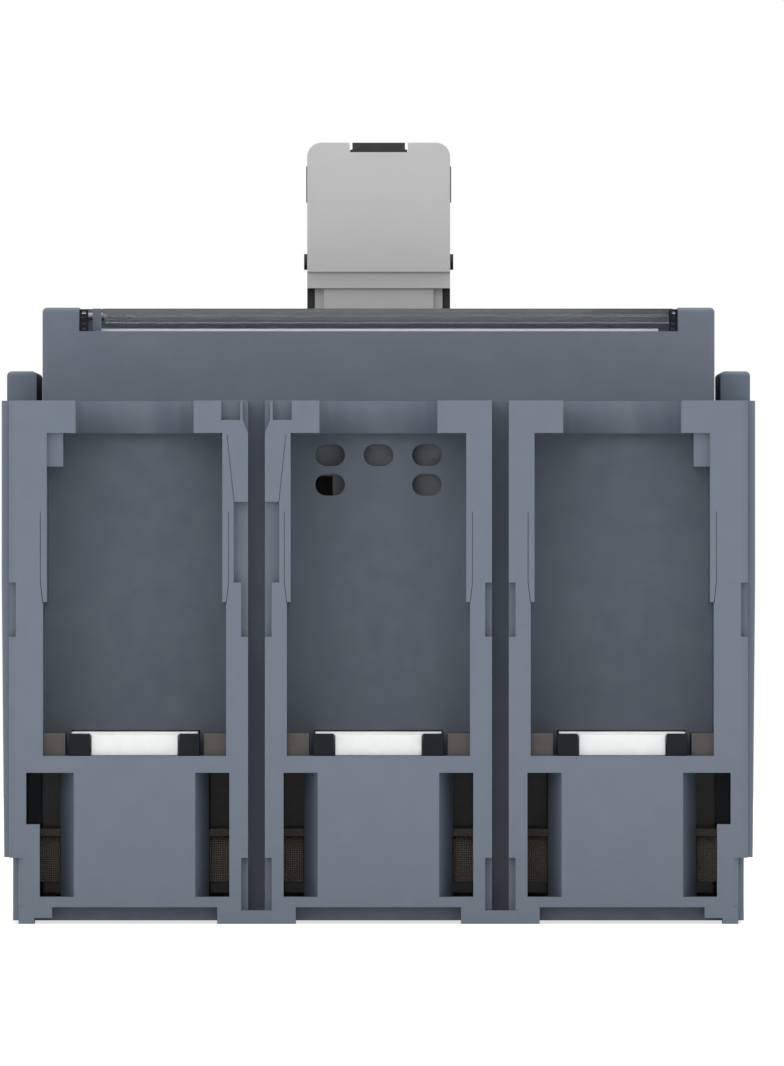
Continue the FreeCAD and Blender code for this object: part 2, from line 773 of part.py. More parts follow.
# Moulded cover
def main_cover():
    block = join("cover_block", [
        casing_block("cover_middle", "body_width", "body_length / 2 - end_length",
                     ("split_height", "cover_height")),
        casing_block("cover_ends", "end_width", "body_length / 2", ("split_height", "cover_height")),
    ])
    hollow = cut("cover_hollow", block, [
        box("cover_room", ("-body_width / 2 + outer_wall", "body_width / 2 - outer_wall"),
            (f"-({room_end})", room_end), (f"split_height - {beyond}", "cover_height - cover_roof")),
    ])
    pillars = []
    for end in ends:
        for number, side in enumerate((-1, 1)):
            pillars.append(rod(f"cover_pillar_{end}_{number}", "z", "cover_pillar_radius",
                               f"{side} * pole_pitch / 2", f"{ends[end]} * cover_screw_spacing / 2",
                               ("split_height", "cover_height - cover_roof / 2")))
    for number, (x, y) in enumerate(front_screw_places()):
        pillars.append(rod(f"front_pillar_{number}", "z", "front_pillar_radius", x, y,
                           (f"nose_height - front_screw_length - {beyond}", "cover_height - cover_roof / 2")))
    ribs = [rounded_block(f"side_rib_{number}", span, ("-rib_length / 2", "rib_length / 2"),
                          ("cover_height - cover_roof", "rib_height"), "nose_edge_radius",
                          lambda edge: edge.BoundBox.ZMin > sizes_mm["rib_height"] - near_mm)
            for number, span in enumerate(both_sides("nose_width / 2 + rib_gap",
                                                     "nose_width / 2 + rib_gap + rib_width"))]
    lips = [lip_prism(f"lip_{pole}_{end}", pole, end, "0", beyond) for end in ends for pole in poles]
    cuts = barrier_channels("cover", f"split_height - {beyond}", f"cover_height + {beyond}")
    cuts.append(box("chamber", ("-nose_width / 2 + chamber_margin", "nose_width / 2 - chamber_margin"),
                    ("chamber_start", "chamber_end"),
                    (f"split_height - {beyond}", f"cover_height + {beyond}")))
    for end in ends:
        for pole in poles:
            cuts.append(box(f"cover_well_{pole}_{end}", pole_span(pole, "cover_well_width / 2"),
                            end_span(end, well_start, f"body_length / 2 + {beyond}"),
                            (f"split_height - lip_depth - {beyond}", "cover_height - well_roof")))
            cuts += screw_notch(pole, end)
            cuts += wall_seams(pole, end)
        cuts += cover_hole_cuts(end)
    for number, (x, y) in enumerate(front_screw_places()):
        cuts.append(rod(f"front_screw_pilot_{number}", "z", "front_screw_radius", x, y,
                        ("nose_height - front_screw_length", f"cover_height + {beyond}")))
    cuts += vent_holes()
    cuts += wall_pockets()
    whole = cut("cover_cut", join("cover_filled", [hollow] + pillars + ribs + lips), cuts)
    return join("cover_whole", [whole] + well_ribs())


def front_screw_places():
    return [(f"{side} * (nose_width / 2 - front_screw_inset)", y)
            for side in (-1, 1) for y in ("front_screw_near_y", "front_screw_far_y")]


# The round-ended notch in the roof of a well, for reaching the terminal screw
def screw_notch(pole, end):
    inner = "body_length / 2 - notch_length"
    heights = (f"cover_height - well_roof - {beyond}", f"cover_height + {beyond}")
    return [
        box(f"notch_{pole}_{end}", pole_span(pole, "notch_width / 2"),
            end_span(end, inner, f"body_length / 2 + {beyond}"), heights),
        rod(f"notch_end_{pole}_{end}", "z", "notch_width / 2",
            pole_x(pole), f"{ends[end]} * ({inner})", heights),
    ]


# Mounting holes with room for their heads, and the cover screws' countersinks
def cover_hole_cuts(end):
    cuts = []
    for number, side in enumerate((-1, 1)):
        x = f"{side} * pole_pitch / 2"
        mount_y = f"{ends[end]} * mount_spacing / 2"
        screw_y = f"{ends[end]} * cover_screw_spacing / 2"
        cuts += [
            rod(f"cover_mount_hole_{end}_{number}", "z", "mount_hole_radius", x, mount_y,
                (f"split_height - {beyond}", f"cover_height + {beyond}")),
            rod(f"mount_head_room_{end}_{number}", "z", "mount_head_radius", x, mount_y,
                ("mount_head_height", f"cover_height + {beyond}")),
            rod(f"cover_screw_way_{end}_{number}", "z", "cover_screw_radius", x, screw_y,
                (f"split_height - {beyond}", f"cover_height + {beyond}")),
            cone(f"cover_screw_sink_{end}_{number}", "cover_screw_radius", "cover_screw_head_radius",
                 x, screw_y, ("cover_height - cover_screw_head_height", "cover_height")),
        ]
    return cuts


# Fine seams in the end face, above each lip
def wall_seams(pole, end):
    depth = end_span(end, "body_length / 2 - seam_depth", f"body_length / 2 + {beyond}")
    seams = []
    for side in (-1, 1):
        span = ordered(side, f"{pole_x(pole)} + {side} * (cover_well_width / 2 + lip_root)",
                       f"{pole_x(pole)} + {side} * (cover_well_width / 2 + lip_root + seam_width)")
        seams.append(box(f"seam_{pole}_{end}_{side + 1}", span, depth,
                         (f"split_height - {beyond}", "split_height + seam_height")))
    return seams


# Five rounded vents in the back wall of the middle well at the load end
def vent_holes():
    reach = end_span("load", f"{room_end} - {beyond}", f"{well_start} + {beyond}")
    straight = "(vent_width - vent_height) / 2"
    rows = {"upper": ("vent_upper_height", (-1, 0, 1)), "lower": ("vent_lower_height", (-1, 1))}
    cuts = []
    for level, (height, columns) in rows.items():
        for column in columns:
            centre = f"{column} * vent_pitch"
            tag = f"{level}_{column + 1}"
            cuts.append(box(f"vent_{tag}", (f"{centre} - {straight}", f"{centre} + {straight}"), reach,
                            (f"{height} - vent_height / 2", f"{height} + vent_height / 2")))
            for side in (-1, 1):
                cuts.append(rod(f"vent_{tag}_{side + 1}", "y", "vent_height / 2",
                                f"{centre} + {side} * {straight}", reach, height))
    return cuts


# Shallow pockets in the end face between the left and the middle pole
def wall_pockets():
    depth = end_span("load", "body_length / 2 - barrier_groove_depth", f"body_length / 2 + {beyond}")
    channel = "-pole_pitch / 2"
    pockets = []
    for side in (-1, 1):
        for level, near, far, heights in (
                ("upper", "pocket_near", "pocket_far",
                 ("cover_height - pocket_depth", f"cover_height + {beyond}")),
                ("lower", "barrier_slot_width / 2", "pocket_step",
                 (f"split_height - {beyond}", "split_height + pocket_step_height"))):
            span = ordered(side, f"{channel} + {side} * ({near})", f"{channel} + {side} * ({far})")
            pockets.append(box(f"wall_pocket_{level}_{side + 1}", span, depth, heights))
        outline = [("seam_top_offset", "split_height + seam_top"),
                   ("seam_top_offset - seam_width", "split_height + seam_top"),
                   ("pocket_step - seam_width", "split_height + pocket_step_height"),
                   ("pocket_step", "split_height + pocket_step_height")]
        outline = [(f"{channel} + {side} * ({x})", z) for x, z in outline]
        pockets.append(plate(f"slanted_seam_{side + 1}", "XZ_Plane", outline,
                             "body_length / 2 - seam_depth", f"seam_depth + {beyond}"))
    outline = [("-barrier_slot_width / 2", "cover_height - mouth_depth"),
               ("-mouth_width / 2", "cover_height - pocket_depth"),
               ("-mouth_width / 2", f"cover_height + {beyond}"),
               ("mouth_width / 2", f"cover_height + {beyond}"),
               ("mouth_width / 2", "cover_height - pocket_depth"),
               ("barrier_slot_width / 2", "cover_height - mouth_depth")]
    outline = [(f"{channel} + {x}", z) for x, z in outline]
    pockets.append(plate("channel_mouth", "XZ_Plane", outline,
                         "body_length / 2 - barrier_groove_depth", f"barrier_groove_depth + {beyond}"))
    return pockets


# Small stops high on the outer walls of the outer wells
def well_ribs():
    ribs = []
    roof = "cover_height - well_roof"
    wall = "pole_pitch + cover_well_width / 2"
    for end in ends:
        for number, span in enumerate(both_sides(f"{wall} - well_rib_width", f"{wall} + {beyond}")):
            ribs.append(box(f"well_rib_{end}_{number}", span,
                            end_span(end, well_start, "body_length / 2 - terminal_set_back"),
                            (f"{roof} - well_rib_height", f"{roof} + {beyond}")))
    return ribs


node("main_cover", main_cover())


# Raised front cover
flap_left = "(-nose_width / 2 + rail_width + flap_left_gap)"
flap_right = "(nose_width / 2 - rail_width - flap_right_gap)"
flap_edge = "(-nose_length / 2 + flap_set_back)"
flap_axis_y = "(recess_end - flap_axis_inset)"


def dial_holes(name):
    return [rod(f"{name}_dial_hole_{number + 1}", "z", "dial_radius + dial_hole_gap",
                f"{number} * dial_pitch", "dial_y", (f"unit_top - {beyond}", "nose_height"))
            for number in (-1, 0, 1)]


def front_cover():
    block = rounded_block(
        "nose_block", ("-nose_width / 2", "nose_width / 2"), ("-nose_length / 2", "nose_length / 2"),
        ("cover_height", "nose_height"), "nose_edge_radius",
        lambda edge: is_upright(edge) or edge.BoundBox.ZMin > sizes_mm["nose_height"] - near_mm)
    hollow = cut("nose_hollow", block, [
        box("nose_room_low", ("-nose_width / 2 + nose_wall", "nose_width / 2 - nose_wall"),
            ("-nose_length / 2 + nose_wall", "nose_length / 2 - nose_wall"),
            (f"cover_height - {beyond}", "nose_height - recess_depth - nose_wall")),
        box("nose_room_high", ("-nose_width / 2 + nose_wall", "nose_width / 2 - nose_wall"),
            ("recess_end + nose_wall", "nose_length / 2 - nose_wall"),
            (f"cover_height - {beyond}", "nose_height - nose_wall")),
        box("recess", ("-nose_width / 2 + rail_width", "nose_width / 2 - rail_width"),
            (f"-nose_length / 2 - {beyond}", "recess_end"),
            ("nose_height - recess_depth", f"nose_height + {beyond}")),
    ])
    added = [rod("button_boss", "z", "button_boss_radius", "button_x", "button_y",
                 ("button_boss_bottom", "nose_height - nose_wall / 2"))]
    cuts = [
        box("handle_slot", ("-handle_slot_width / 2", "handle_slot_width / 2"),
            ("handle_y - handle_slot_length / 2", "handle_y + handle_slot_length / 2"),
            ("nose_height - nose_wall * 2", f"nose_height + {beyond}")),
        rod("button_hole", "z", "button_radius + button_hole_gap", "button_x", "button_y",
            ("button_boss_bottom", f"nose_height + {beyond}")),
        rod("button_boss_room", "z", "button_boss_bore", "button_x", "button_y",
            (f"button_boss_bottom - {beyond}", "nose_height - nose_wall")),
        rod("flap_pin_holes", "x", "flap_pin_radius",
            ("-nose_width / 2 + rail_width / 2", "nose_width / 2 - rail_width / 2"),
            flap_axis_y, "flap_axis_height"),
    ]
    for number, (x, y) in enumerate(front_screw_places()):
        added.append(rod(f"nose_pillar_{number}", "z", "front_pillar_radius", x, y,
                         ("cover_height", "nose_height - nose_wall / 2")))
        cuts.append(rod(f"front_screw_way_{number}", "z", "front_screw_radius", x, y,
                        (f"cover_height - {beyond}", f"nose_height + {beyond}")))
        cuts.append(rod(f"front_screw_sink_{number}", "z", "front_screw_head_radius", x, y,
                        ("nose_height - front_screw_head_height", f"nose_height + {beyond}")))
    cuts += dial_holes("front")
    whole = cut("nose_cut", join("nose_filled", [hollow] + added), cuts)
    catch = box("flap_catch", (f"{flap_left} - catch_gap - catch_width", f"{flap_left} - catch_gap"),
                (flap_edge, f"{flap_edge} + catch_length"),
                ("nose_height - recess_depth - nose_wall / 2", "flap_axis_height + flap_barrel_radius"))
    ribs = []
    for number, side in enumerate((-1, 1)):
        ribs.append(box(f"recess_rib_{number}", (f"{side} * recess_rib_x - recess_rib_width / 2",
                                                 f"{side} * recess_rib_x + recess_rib_width / 2"),
                        ("recess_end - label_margin + label_gap", f"recess_end + {beyond}"),
                        ("nose_height - recess_depth - nose_wall / 2",
                         "nose_height - recess_depth + recess_rib_height")))
    return join("nose_whole", [whole, catch] + ribs)


# A narrow strip at each end of the recess, with holes for a sealing wire
def seal_eyelets():
    strips = []
    low = "nose_height - recess_depth"
    wall = "nose_width / 2 - rail_width - eyelet_gap"
    reach = ("-nose_length / 2 + eyelet_set_back", "-nose_length / 2 + eyelet_set_back + eyelet_length")
    for number, span in enumerate(both_sides(f"{wall} - eyelet_width", wall)):
        middle = f"{2 * number - 1} * ({wall} - eyelet_width / 2)"
        holes = []
        for row in range(sizes_mm["eyelet_rows"]):
            centre = f"{low} + {row + 0.5} * eyelet_pitch"
            holes.append(box(f"eyelet_hole_{number}_{row}",
                             (f"{middle} - eyelet_hole_width / 2", f"{middle} + eyelet_hole_width / 2"),
                             (f"{reach[0]} - {beyond}", f"{reach[1]} + {beyond}"),
                             (f"{centre} - eyelet_hole_height / 2", f"{centre} + eyelet_hole_height / 2")))
        block = box(f"eyelet_block_{number}", span, reach, (low, f"{low} + eyelet_height"))
        strips.append(cut(f"eyelet_strip_{number}", block, holes))
    return group("eyelet_strips", strips)


node("front_cover", front_cover())
node("flap_seal_eyelets", seal_eyelets())

label_half = "nose_width / 2 - rail_width - label_margin"
node("label_plate", cut("label", box(
    "label_sheet", (f"-({label_half})", label_half),
    (f"{flap_edge} + label_set_back", "recess_end - label_margin"),
    ("nose_height - recess_depth", "nose_height - recess_depth + label_thickness")), dial_holes("label")))

node("window_flap", join("flap", [
    box("flap_sheet", (flap_left, flap_right), (flap_edge, flap_axis_y),
        ("flap_axis_height + flap_barrel_radius - flap_thickness", "flap_axis_height + flap_barrel_radius")),
    rod("flap_barrel", "x", "flap_barrel_radius", (flap_left, flap_right), flap_axis_y, "flap_axis_height"),
]))


# Flap hinge pins, fixed in the flap's ends
def flap_pins():
    pins = []
    outer = "nose_width / 2 - rail_width / 2 - flap_pin_inset"
    for number, span in enumerate(((f"-({outer})", flap_left), (flap_right, outer))):
        pins.append(rod(f"flap_pin_{number}", "x", "flap_pin_radius - flap_pin_gap", span,
                        flap_axis_y, "flap_axis_height"))
    return group("flap_pins", pins)


node("flap_hinge_pins", flap_pins())


# Screws of both covers
def cover_screws():
    screws = []
    for end in ends:
        for number, side in enumerate((-1, 1)):
            screw = turned(f"cover_screw_{end}_{number}", [
                ("0", "-cover_screw_length"), ("cover_screw_radius", "-cover_screw_length"),
                ("cover_screw_radius", "-cover_screw_head_height"), ("cover_screw_head_radius", "0"),
                ("0", "0")])
            screws.append(place(screw, f"{side} * pole_pitch / 2", f"{ends[end]} * cover_screw_spacing / 2",
                                "cover_height"))
    return group("cover_screw_set", screws)


def front_cover_screws():
    screws = []
    for number, (x, y) in enumerate(front_screw_places()):
        screw = turned(f"front_screw_{number}", [
            ("0", "-front_screw_length"), ("front_screw_radius", "-front_screw_length"),
            ("front_screw_radius", "-front_screw_head_height"),
            ("front_screw_head_radius", "-front_screw_head_height"),
            ("front_screw_head_radius", "-front_screw_sink"), ("0", "-front_screw_sink")])
        screws.append(place(screw, x, y, "nose_height"))
    return group("front_screw_set", screws)


node("cover_screws", cover_screws())
node("front_cover_screws", front_cover_screws())


# Handle: a black core between two light shells, on a steel yoke
def handle_core():
    def slab(name, half_width, heights):
        return box(name, (f"-({half_width})", half_width),
                   ("handle_y - handle_core_depth / 2", "handle_y + handle_core_depth / 2"), heights)

    insert_base = "handle_height - handle_insert_height"
    insert_reach = ("handle_y - handle_depth / 2 + handle_insert_set_back",
                    "handle_y + handle_depth / 2 - handle_insert_set_back")
    insert_half = "handle_insert_width / 2 - handle_insert_shoulder"
    insert = [
        box("core_insert", (f"-({insert_half})", insert_half), insert_reach, (insert_base, "handle_height")),
        box("core_insert_flange", ("-handle_insert_width / 2", "handle_insert_width / 2"), insert_reach,
            (insert_base, f"{insert_base} + handle_insert_flange")),
    ]
    crown = "handle_width / 2 - handle_corner_radius"
    for number, span in enumerate(both_sides("handle_insert_width / 2 + handle_insert_gap", crown)):
        insert.append(box(f"core_cap_{number}", span,
                          ("handle_y - handle_core_depth / 2", "handle_y + handle_core_depth / 2"),
                          (insert_base, "handle_height - handle_crown_drop")))
    lock = "handle_face_bottom + handle_lock_rise"
    lock_reach = "handle_width / 2 + handle_lock_reach"
    return join("core", [
        slab("core_blade", "handle_width / 2",
             ("handle_face_bottom", f"{insert_base} - handle_corner_radius")),
        slab("core_crown", crown, ("handle_face_bottom", insert_base)),
        slab("core_side_pads", "handle_width / 2 + handle_core_lip",
             ("handle_height - handle_pad_drop - handle_pad_height", "handle_height - handle_pad_drop")),
        slab("core_neck", "handle_neck_width / 2", ("yoke_top_height", "handle_collar_bottom")),
        slab("core_wings", "handle_width / 2",
             ("handle_pivot_height + shield_outer_radius", "handle_face_bottom")),
        rod("core_lock_pins", "x", "handle_lock_radius", (f"-({lock_reach})", lock_reach), "handle_y", lock),
    ] + insert)


# One light shell on a face of the core, with its collar and neck
def handle_shell(name, side):
    inner = "handle_core_depth / 2"

    def thickness(outer):
        return ordered(side, f"handle_y + {side} * ({inner})", f"handle_y + {side} * ({outer})")

    def layer(part_name, half_width, outer, low, high):
        return box(f"{name}_{part_name}", (f"-({half_width})", half_width), thickness(outer), (low, high))

    face = rounded_block(
        f"{name}_face", ("-handle_width / 2", "handle_width / 2"), thickness("handle_depth / 2"),
        ("handle_face_bottom", "handle_height"), "handle_corner_radius",
        lambda edge: (edge.BoundBox.ZMin > sizes_mm["handle_height"] - near_mm
                      and edge.BoundBox.XLength < near_mm))
    collar = layer("collar", "handle_width / 2", "handle_depth / 2 - handle_collar_set_back",
                   "handle_collar_bottom", "handle_face_bottom")
    shoulder = layer("shoulder", "handle_shoulder_width / 2", "handle_depth / 2 - handle_neck_set_back * 2",
                     "handle_pivot_height + shield_outer_radius", "handle_collar_bottom")
    neck = layer("neck", "handle_neck_width / 2", "handle_depth / 2 - handle_neck_set_back",
                 "handle_pivot_height + shield_outer_radius", "handle_collar_bottom")
    notch_half = "handle_insert_width / 2 + handle_insert_gap"
    notch = box(f"{name}_notch", (f"-({notch_half})", notch_half), thickness(f"handle_depth / 2 + {beyond}"),
                ("handle_height - handle_insert_height", f"handle_height + {beyond}"))
    return cut(f"{name}_cut", join(f"{name}_whole", [face, collar, shoulder, neck]), [notch])


# An arched strip on the handle that keeps the slot closed as it swings
def handle_shield():
    outer = doc.addObject("Part::Cylinder", "shield_outer")
    inner = doc.addObject("Part::Cylinder", "shield_inner")
    for arc, radius, extra in ((outer, "shield_outer_radius", "0"),
                               (inner, "shield_outer_radius - shield_thickness", beyond)):
        arc.Placement.Rotation = FreeCAD.Rotation(FreeCAD.Vector(0, 1, 0), 90)
        bind(arc, "Radius", radius)
        bind(arc, "Height", f"shield_width + {extra}")
        place(arc, f"-shield_width / 2 - {extra} / 2", "handle_y", "handle_pivot_height")
    reach = "shield_outer_radius * tan(shield_half_angle)"
    wedge = plate("shield_wedge", "YZ_Plane", [
        ("handle_y", "handle_pivot_height"),
        (f"handle_y + {reach}", "handle_pivot_height + shield_outer_radius"),
        (f"handle_y + {reach}", f"handle_pivot_height + shield_outer_radius + {beyond}"),
        (f"handle_y - {reach}", f"handle_pivot_height + shield_outer_radius + {beyond}"),
        (f"handle_y - {reach}", "handle_pivot_height + shield_outer_radius")],
        f"-shield_width / 2 - {beyond}", f"shield_width + 2 * {beyond}")
    strip = common("shield_strip", cut("shield_ring", outer, [inner]), wedge)
    hole = box("shield_hole", ("-handle_neck_width / 2", "handle_neck_width / 2"),
               ("handle_y - handle_core_depth / 2", "handle_y + handle_core_depth / 2"),
               ("yoke_top_height", "handle_collar_bottom"))
    return cut("shield", strip, [hole])


yoke_inner = "plate_inner_x + plate_thickness + yoke_gap"


# An inverted U of sheet steel that swings on the two pivot pins
def handle_yoke():
    arms = []
    for number, start in enumerate((f"-({yoke_inner}) - yoke_thickness", yoke_inner)):
        arms.append(plate(f"yoke_arm_{number}", "YZ_Plane", [
            ("handle_y - yoke_foot_width / 2", "handle_pivot_height - yoke_foot_width / 2 + yoke_chamfer"),
            ("handle_y - yoke_foot_width / 2 + yoke_chamfer", "handle_pivot_height - yoke_foot_width / 2"),
            ("handle_y + yoke_foot_width / 2 - yoke_chamfer", "handle_pivot_height - yoke_foot_width / 2"),
            ("handle_y + yoke_foot_width / 2", "handle_pivot_height - yoke_foot_width / 2 + yoke_chamfer"),
            ("handle_y + yoke_top_width / 2", "yoke_top_height"),
            ("handle_y - yoke_top_width / 2", "yoke_top_height")],
            start, "yoke_thickness", [(("handle_y", "handle_pivot_height"), "pivot_pin_radius + pin_gap")]))
    reach = f"{yoke_inner} + yoke_thickness"
    bridge = box("yoke_bridge", (f"-({reach})", reach),
                 ("handle_y - yoke_top_width / 2", "handle_y + yoke_top_width / 2"),
                 ("yoke_top_height - yoke_thickness", "yoke_top_height"))
    return join("yoke", arms + [bridge])


node("handle_core", handle_core())
node("handle_shell_near", handle_shell("shell_near", -1))
node("handle_shell_far", handle_shell("shell_far", 1))
node("handle_shield", handle_shield())
node("handle_yoke", handle_yoke())


spacer_near_y = "plate_foot_start + spacer_pin_inset"
spacer_far_y = "plate_foot_end - spacer_pin_inset"
spacer_height = "plate_foot_height + spacer_pin_inset"


# Mechanism plates and the pins fixed in them
def mechanism_plate(name, start):
    return plate(name, "YZ_Plane", [
        ("plate_foot_start", "plate_foot_height"),
        ("plate_foot_end", "plate_foot_height"),
        ("plate_foot_end + plate_shoulder", "plate_foot_height + plate_rise"),
        ("plate_foot_end + plate_shoulder", "cradle_pivot_height + plate_rise"),
        ("handle_y + plate_top_reach", "plate_top_height"),
        ("handle_y - plate_top_reach", "plate_top_height"),
        ("latch_pivot_y + plate_latch_reach", "trip_bar_height + plate_latch_reach"),
        ("trip_bar_y - plate_nose_rise", "trip_bar_height + plate_nose_reach"),
        ("trip_bar_y - plate_nose_reach", "trip_bar_height + plate_nose_rise"),
        ("trip_bar_y - plate_nose_reach", "trip_bar_height - plate_latch_foot"),
        ("latch_pivot_y - plate_latch_foot", "latch_pivot_height - plate_latch_foot")], start,
        "plate_thickness", [
            (("handle_y", "handle_pivot_height"), "pivot_pin_radius"),
            (("cradle_pivot_y", "cradle_pivot_height"), "cradle_pin_radius"),
            (("latch_pivot_y", "latch_pivot_height"), "latch_pin_radius"),
            (("trip_bar_y", "trip_bar_height"), "trip_bar_radius + pin_gap"),
            ((spacer_far_y, spacer_height), "spacer_pin_radius"),
            ((spacer_near_y, spacer_height), "spacer_pin_radius")])


def mechanism_pins():
    outer = "plate_inner_x + plate_thickness"
    pins = []
    spans = both_sides("plate_inner_x", f"{yoke_inner} + yoke_thickness + pin_overhang")
    for number, span in enumerate(spans):
        pins.append(rod(f"handle_pivot_pin_{number}", "x", "pivot_pin_radius", span,
                        "handle_y", "handle_pivot_height"))
    for name, radius, y, z in (
            ("cradle_pin", "cradle_pin_radius", "cradle_pivot_y", "cradle_pivot_height"),
            ("latch_pin", "latch_pin_radius", "latch_pivot_y", "latch_pivot_height"),
            ("spacer_far", "spacer_pin_radius", spacer_far_y, spacer_height),
            ("spacer_near", "spacer_pin_radius", spacer_near_y, spacer_height)):
        pins.append(rod(name, "x", radius, (f"-({outer})", outer), y, z))
    return group("pins", pins)


node("mechanism_plate_left", mechanism_plate("plate_left", "-plate_inner_x - plate_thickness"))
node("mechanism_plate_right", mechanism_plate("plate_right", "plate_inner_x"))
node("mechanism_pins", mechanism_pins())


# Cradle, toggle links and their springs
cradle_outer = "plate_inner_x - cradle_gap"


# Two levers joined by the latched tip bar and the pin that carries the upper links
def cradle():
    levers = []
    for number, start in enumerate((f"-({cradle_outer})", f"{cradle_outer} - cradle_thickness")):
        levers.append(plate(f"cradle_lever_{number}", "YZ_Plane", [
            ("cradle_pivot_y + cradle_eye", "cradle_pivot_height - cradle_eye"),
            ("cradle_pivot_y + cradle_eye", "cradle_pivot_height + cradle_eye"),
            ("link_pin_y", "link_pin_height + cradle_back"),
            ("cradle_tip_y - cradle_tip_reach", "cradle_tip_height + cradle_tip_above"),
            ("cradle_tip_y - cradle_tip_reach", "cradle_tip_height - cradle_tip_below"),
            ("link_pin_y - cradle_back", "link_pin_height - cradle_neck"),
            ("link_pin_y", "link_pin_height - cradle_belly"),
            ("cradle_pivot_y - cradle_eye", "cradle_pivot_height - cradle_eye")], start, "cradle_thickness", [
                (("cradle_pivot_y", "cradle_pivot_height"), "cradle_pin_radius + pin_gap")]))
    span = (f"-({cradle_outer} - cradle_thickness)", f"{cradle_outer} - cradle_thickness")
    tip = rod("cradle_tip", "x", "cradle_tip_radius", span, "cradle_tip_y", "cradle_tip_height")
    carrier = rod("cradle_link_pin", "x", "link_pin_radius", span, "link_pin_y", "link_pin_height")
    return join("cradle_whole", levers + [tip, carrier])


# A pair of flat links with round eyes, seen from the side
def link(name, starts, top, bottom, top_hole, bottom_hole):
    top_y, top_z = top
    bottom_y, bottom_z = bottom
    length = f"sqrt(({top_y} - {bottom_y})^2 + ({top_z} - {bottom_z})^2)"
    across_y = f"({top_z} - {bottom_z}) / {length} * link_half_width"
    across_z = f"({bottom_y} - {top_y}) / {length} * link_half_width"
    pieces = []
    for number, start in enumerate(starts):
        bar = plate(f"{name}_bar_{number}", "YZ_Plane", [
            (f"{top_y} + {across_y}", f"{top_z} + {across_z}"),
            (f"{top_y} - {across_y}", f"{top_z} - {across_z}"),
            (f"{bottom_y} - {across_y}", f"{bottom_z} - {across_z}"),
            (f"{bottom_y} + {across_y}", f"{bottom_z} + {across_z}")], start, "link_thickness")
        span = (start, f"{start} + link_thickness")
        eyes = [rod(f"{name}_eye_{index}_{number}", "x", "link_eye_radius", span, y, z)
                for index, (y, z) in enumerate((top, bottom))]
        holes = [rod(f"{name}_hole_{index}_{number}", "x", radius,
                     (f"{start} - {beyond}", f"{start} + link_thickness + {beyond}"), y, z)
                 for index, ((y, z), radius) in enumerate(((top, top_hole), (bottom, bottom_hole)))]
        pieces.append(cut(f"{name}_{number}", join(f"{name}_blank_{number}", [bar] + eyes), holes))
    return group(f"{name}_pair", pieces)


node("cradle", cradle())
node("upper_links", link(
    "upper_link", ("-upper_link_x - link_thickness", "upper_link_x"), ("link_pin_y", "link_pin_height"),
    ("toggle_y", "toggle_height"), "link_pin_radius + pin_gap", "link_pin_radius"))
node("toggle_pin", rod("toggle_pin_rod", "x", "link_pin_radius",
                       ("-lower_link_x + link_gap", "lower_link_x - link_gap"), "toggle_y", "toggle_height"))
node("lower_links", link(
    "lower_link", ("-lower_link_x - link_thickness", "lower_link_x"), ("toggle_y", "toggle_height"),
    ("drive_pin_y", "drive_pin_height"), "link_pin_radius + toggle_play", "link_pin_radius + pin_gap"))


# Half outline of a spring drawn as a ribbed sleeve
def coil_outline(low, length, outer, wire, coils):
    outline = [(f"({outer}) - ({wire})", low)]
    for turn in range(int(sizes_mm[coils])):
        outline.append((f"({outer}) - ({wire}) / 2", f"{low} + ({length}) * {turn} / {coils}"))
        outline.append((outer, f"{low} + ({length}) * {turn + 0.5} / {coils}"))
    outline.append((f"({outer}) - ({wire}) / 2", f"{low} + ({length})"))
    outline.append((f"({outer}) - ({wire})", f"{low} + ({length})"))
    return outline


# Two tension springs from the toggle pin up to the yoke
def main_springs():
    rise = "yoke_top_height - yoke_thickness - toggle_height - link_pin_radius"
    run = "handle_y - toggle_y"
    length = f"sqrt(({rise})^2 + ({run})^2) - spring_start_gap - spring_end_gap"
    springs = []
    for number, side in enumerate((-1, 1)):
        outline = coil_outline("spring_start_gap", length, "spring_radius", "spring_wire", "spring_coils")
        spring = turned(f"spring_{number}", outline)
        spring.Placement.Rotation = FreeCAD.Rotation(FreeCAD.Vector(1, 0, 0), 1)
        bind(spring, "Placement.Rotation.Angle", f"-atan(({run}) / ({rise}))")
        springs.append(place(spring, f"{side} * spring_x", "toggle_y", "toggle_height + link_pin_radius"))
    return group("spring_pair", springs)


node("main_springs", main_springs())


# Latch and trip bar
# A lever whose nose hooks over the cradle's tip bar
def latch_lever():
    hook = "cradle_tip_height + cradle_tip_radius + latch_gap"
    back = "cradle_tip_y - latch_stem_back"
    front = f"{back} + latch_stem_thickness"
    waist = "cradle_tip_height - latch_stem_back"
    return plate("latch_body", "YZ_Plane", [
        ("latch_pivot_y - latch_foot", "latch_pivot_height - latch_foot"),
        ("latch_pivot_y + latch_foot", "latch_pivot_height - latch_foot"),
        ("latch_pivot_y + latch_foot", "latch_pivot_height + latch_foot"),
        (front, waist),
        (front, hook),
        ("cradle_tip_y + latch_hook_reach", hook),
        ("cradle_tip_y + latch_hook_reach", f"{hook} + latch_hook_thickness"),
        (f"{back} + latch_hook_reach", f"{hook} + latch_crown_thickness"),
        (back, f"{hook} + latch_hook_thickness"),
        (back, waist),
        ("latch_pivot_y - latch_foot", "latch_pivot_height + latch_foot")],
        "-latch_width / 2", "latch_width",
        [(("latch_pivot_y", "latch_pivot_height"), "latch_pin_radius + pin_gap")])


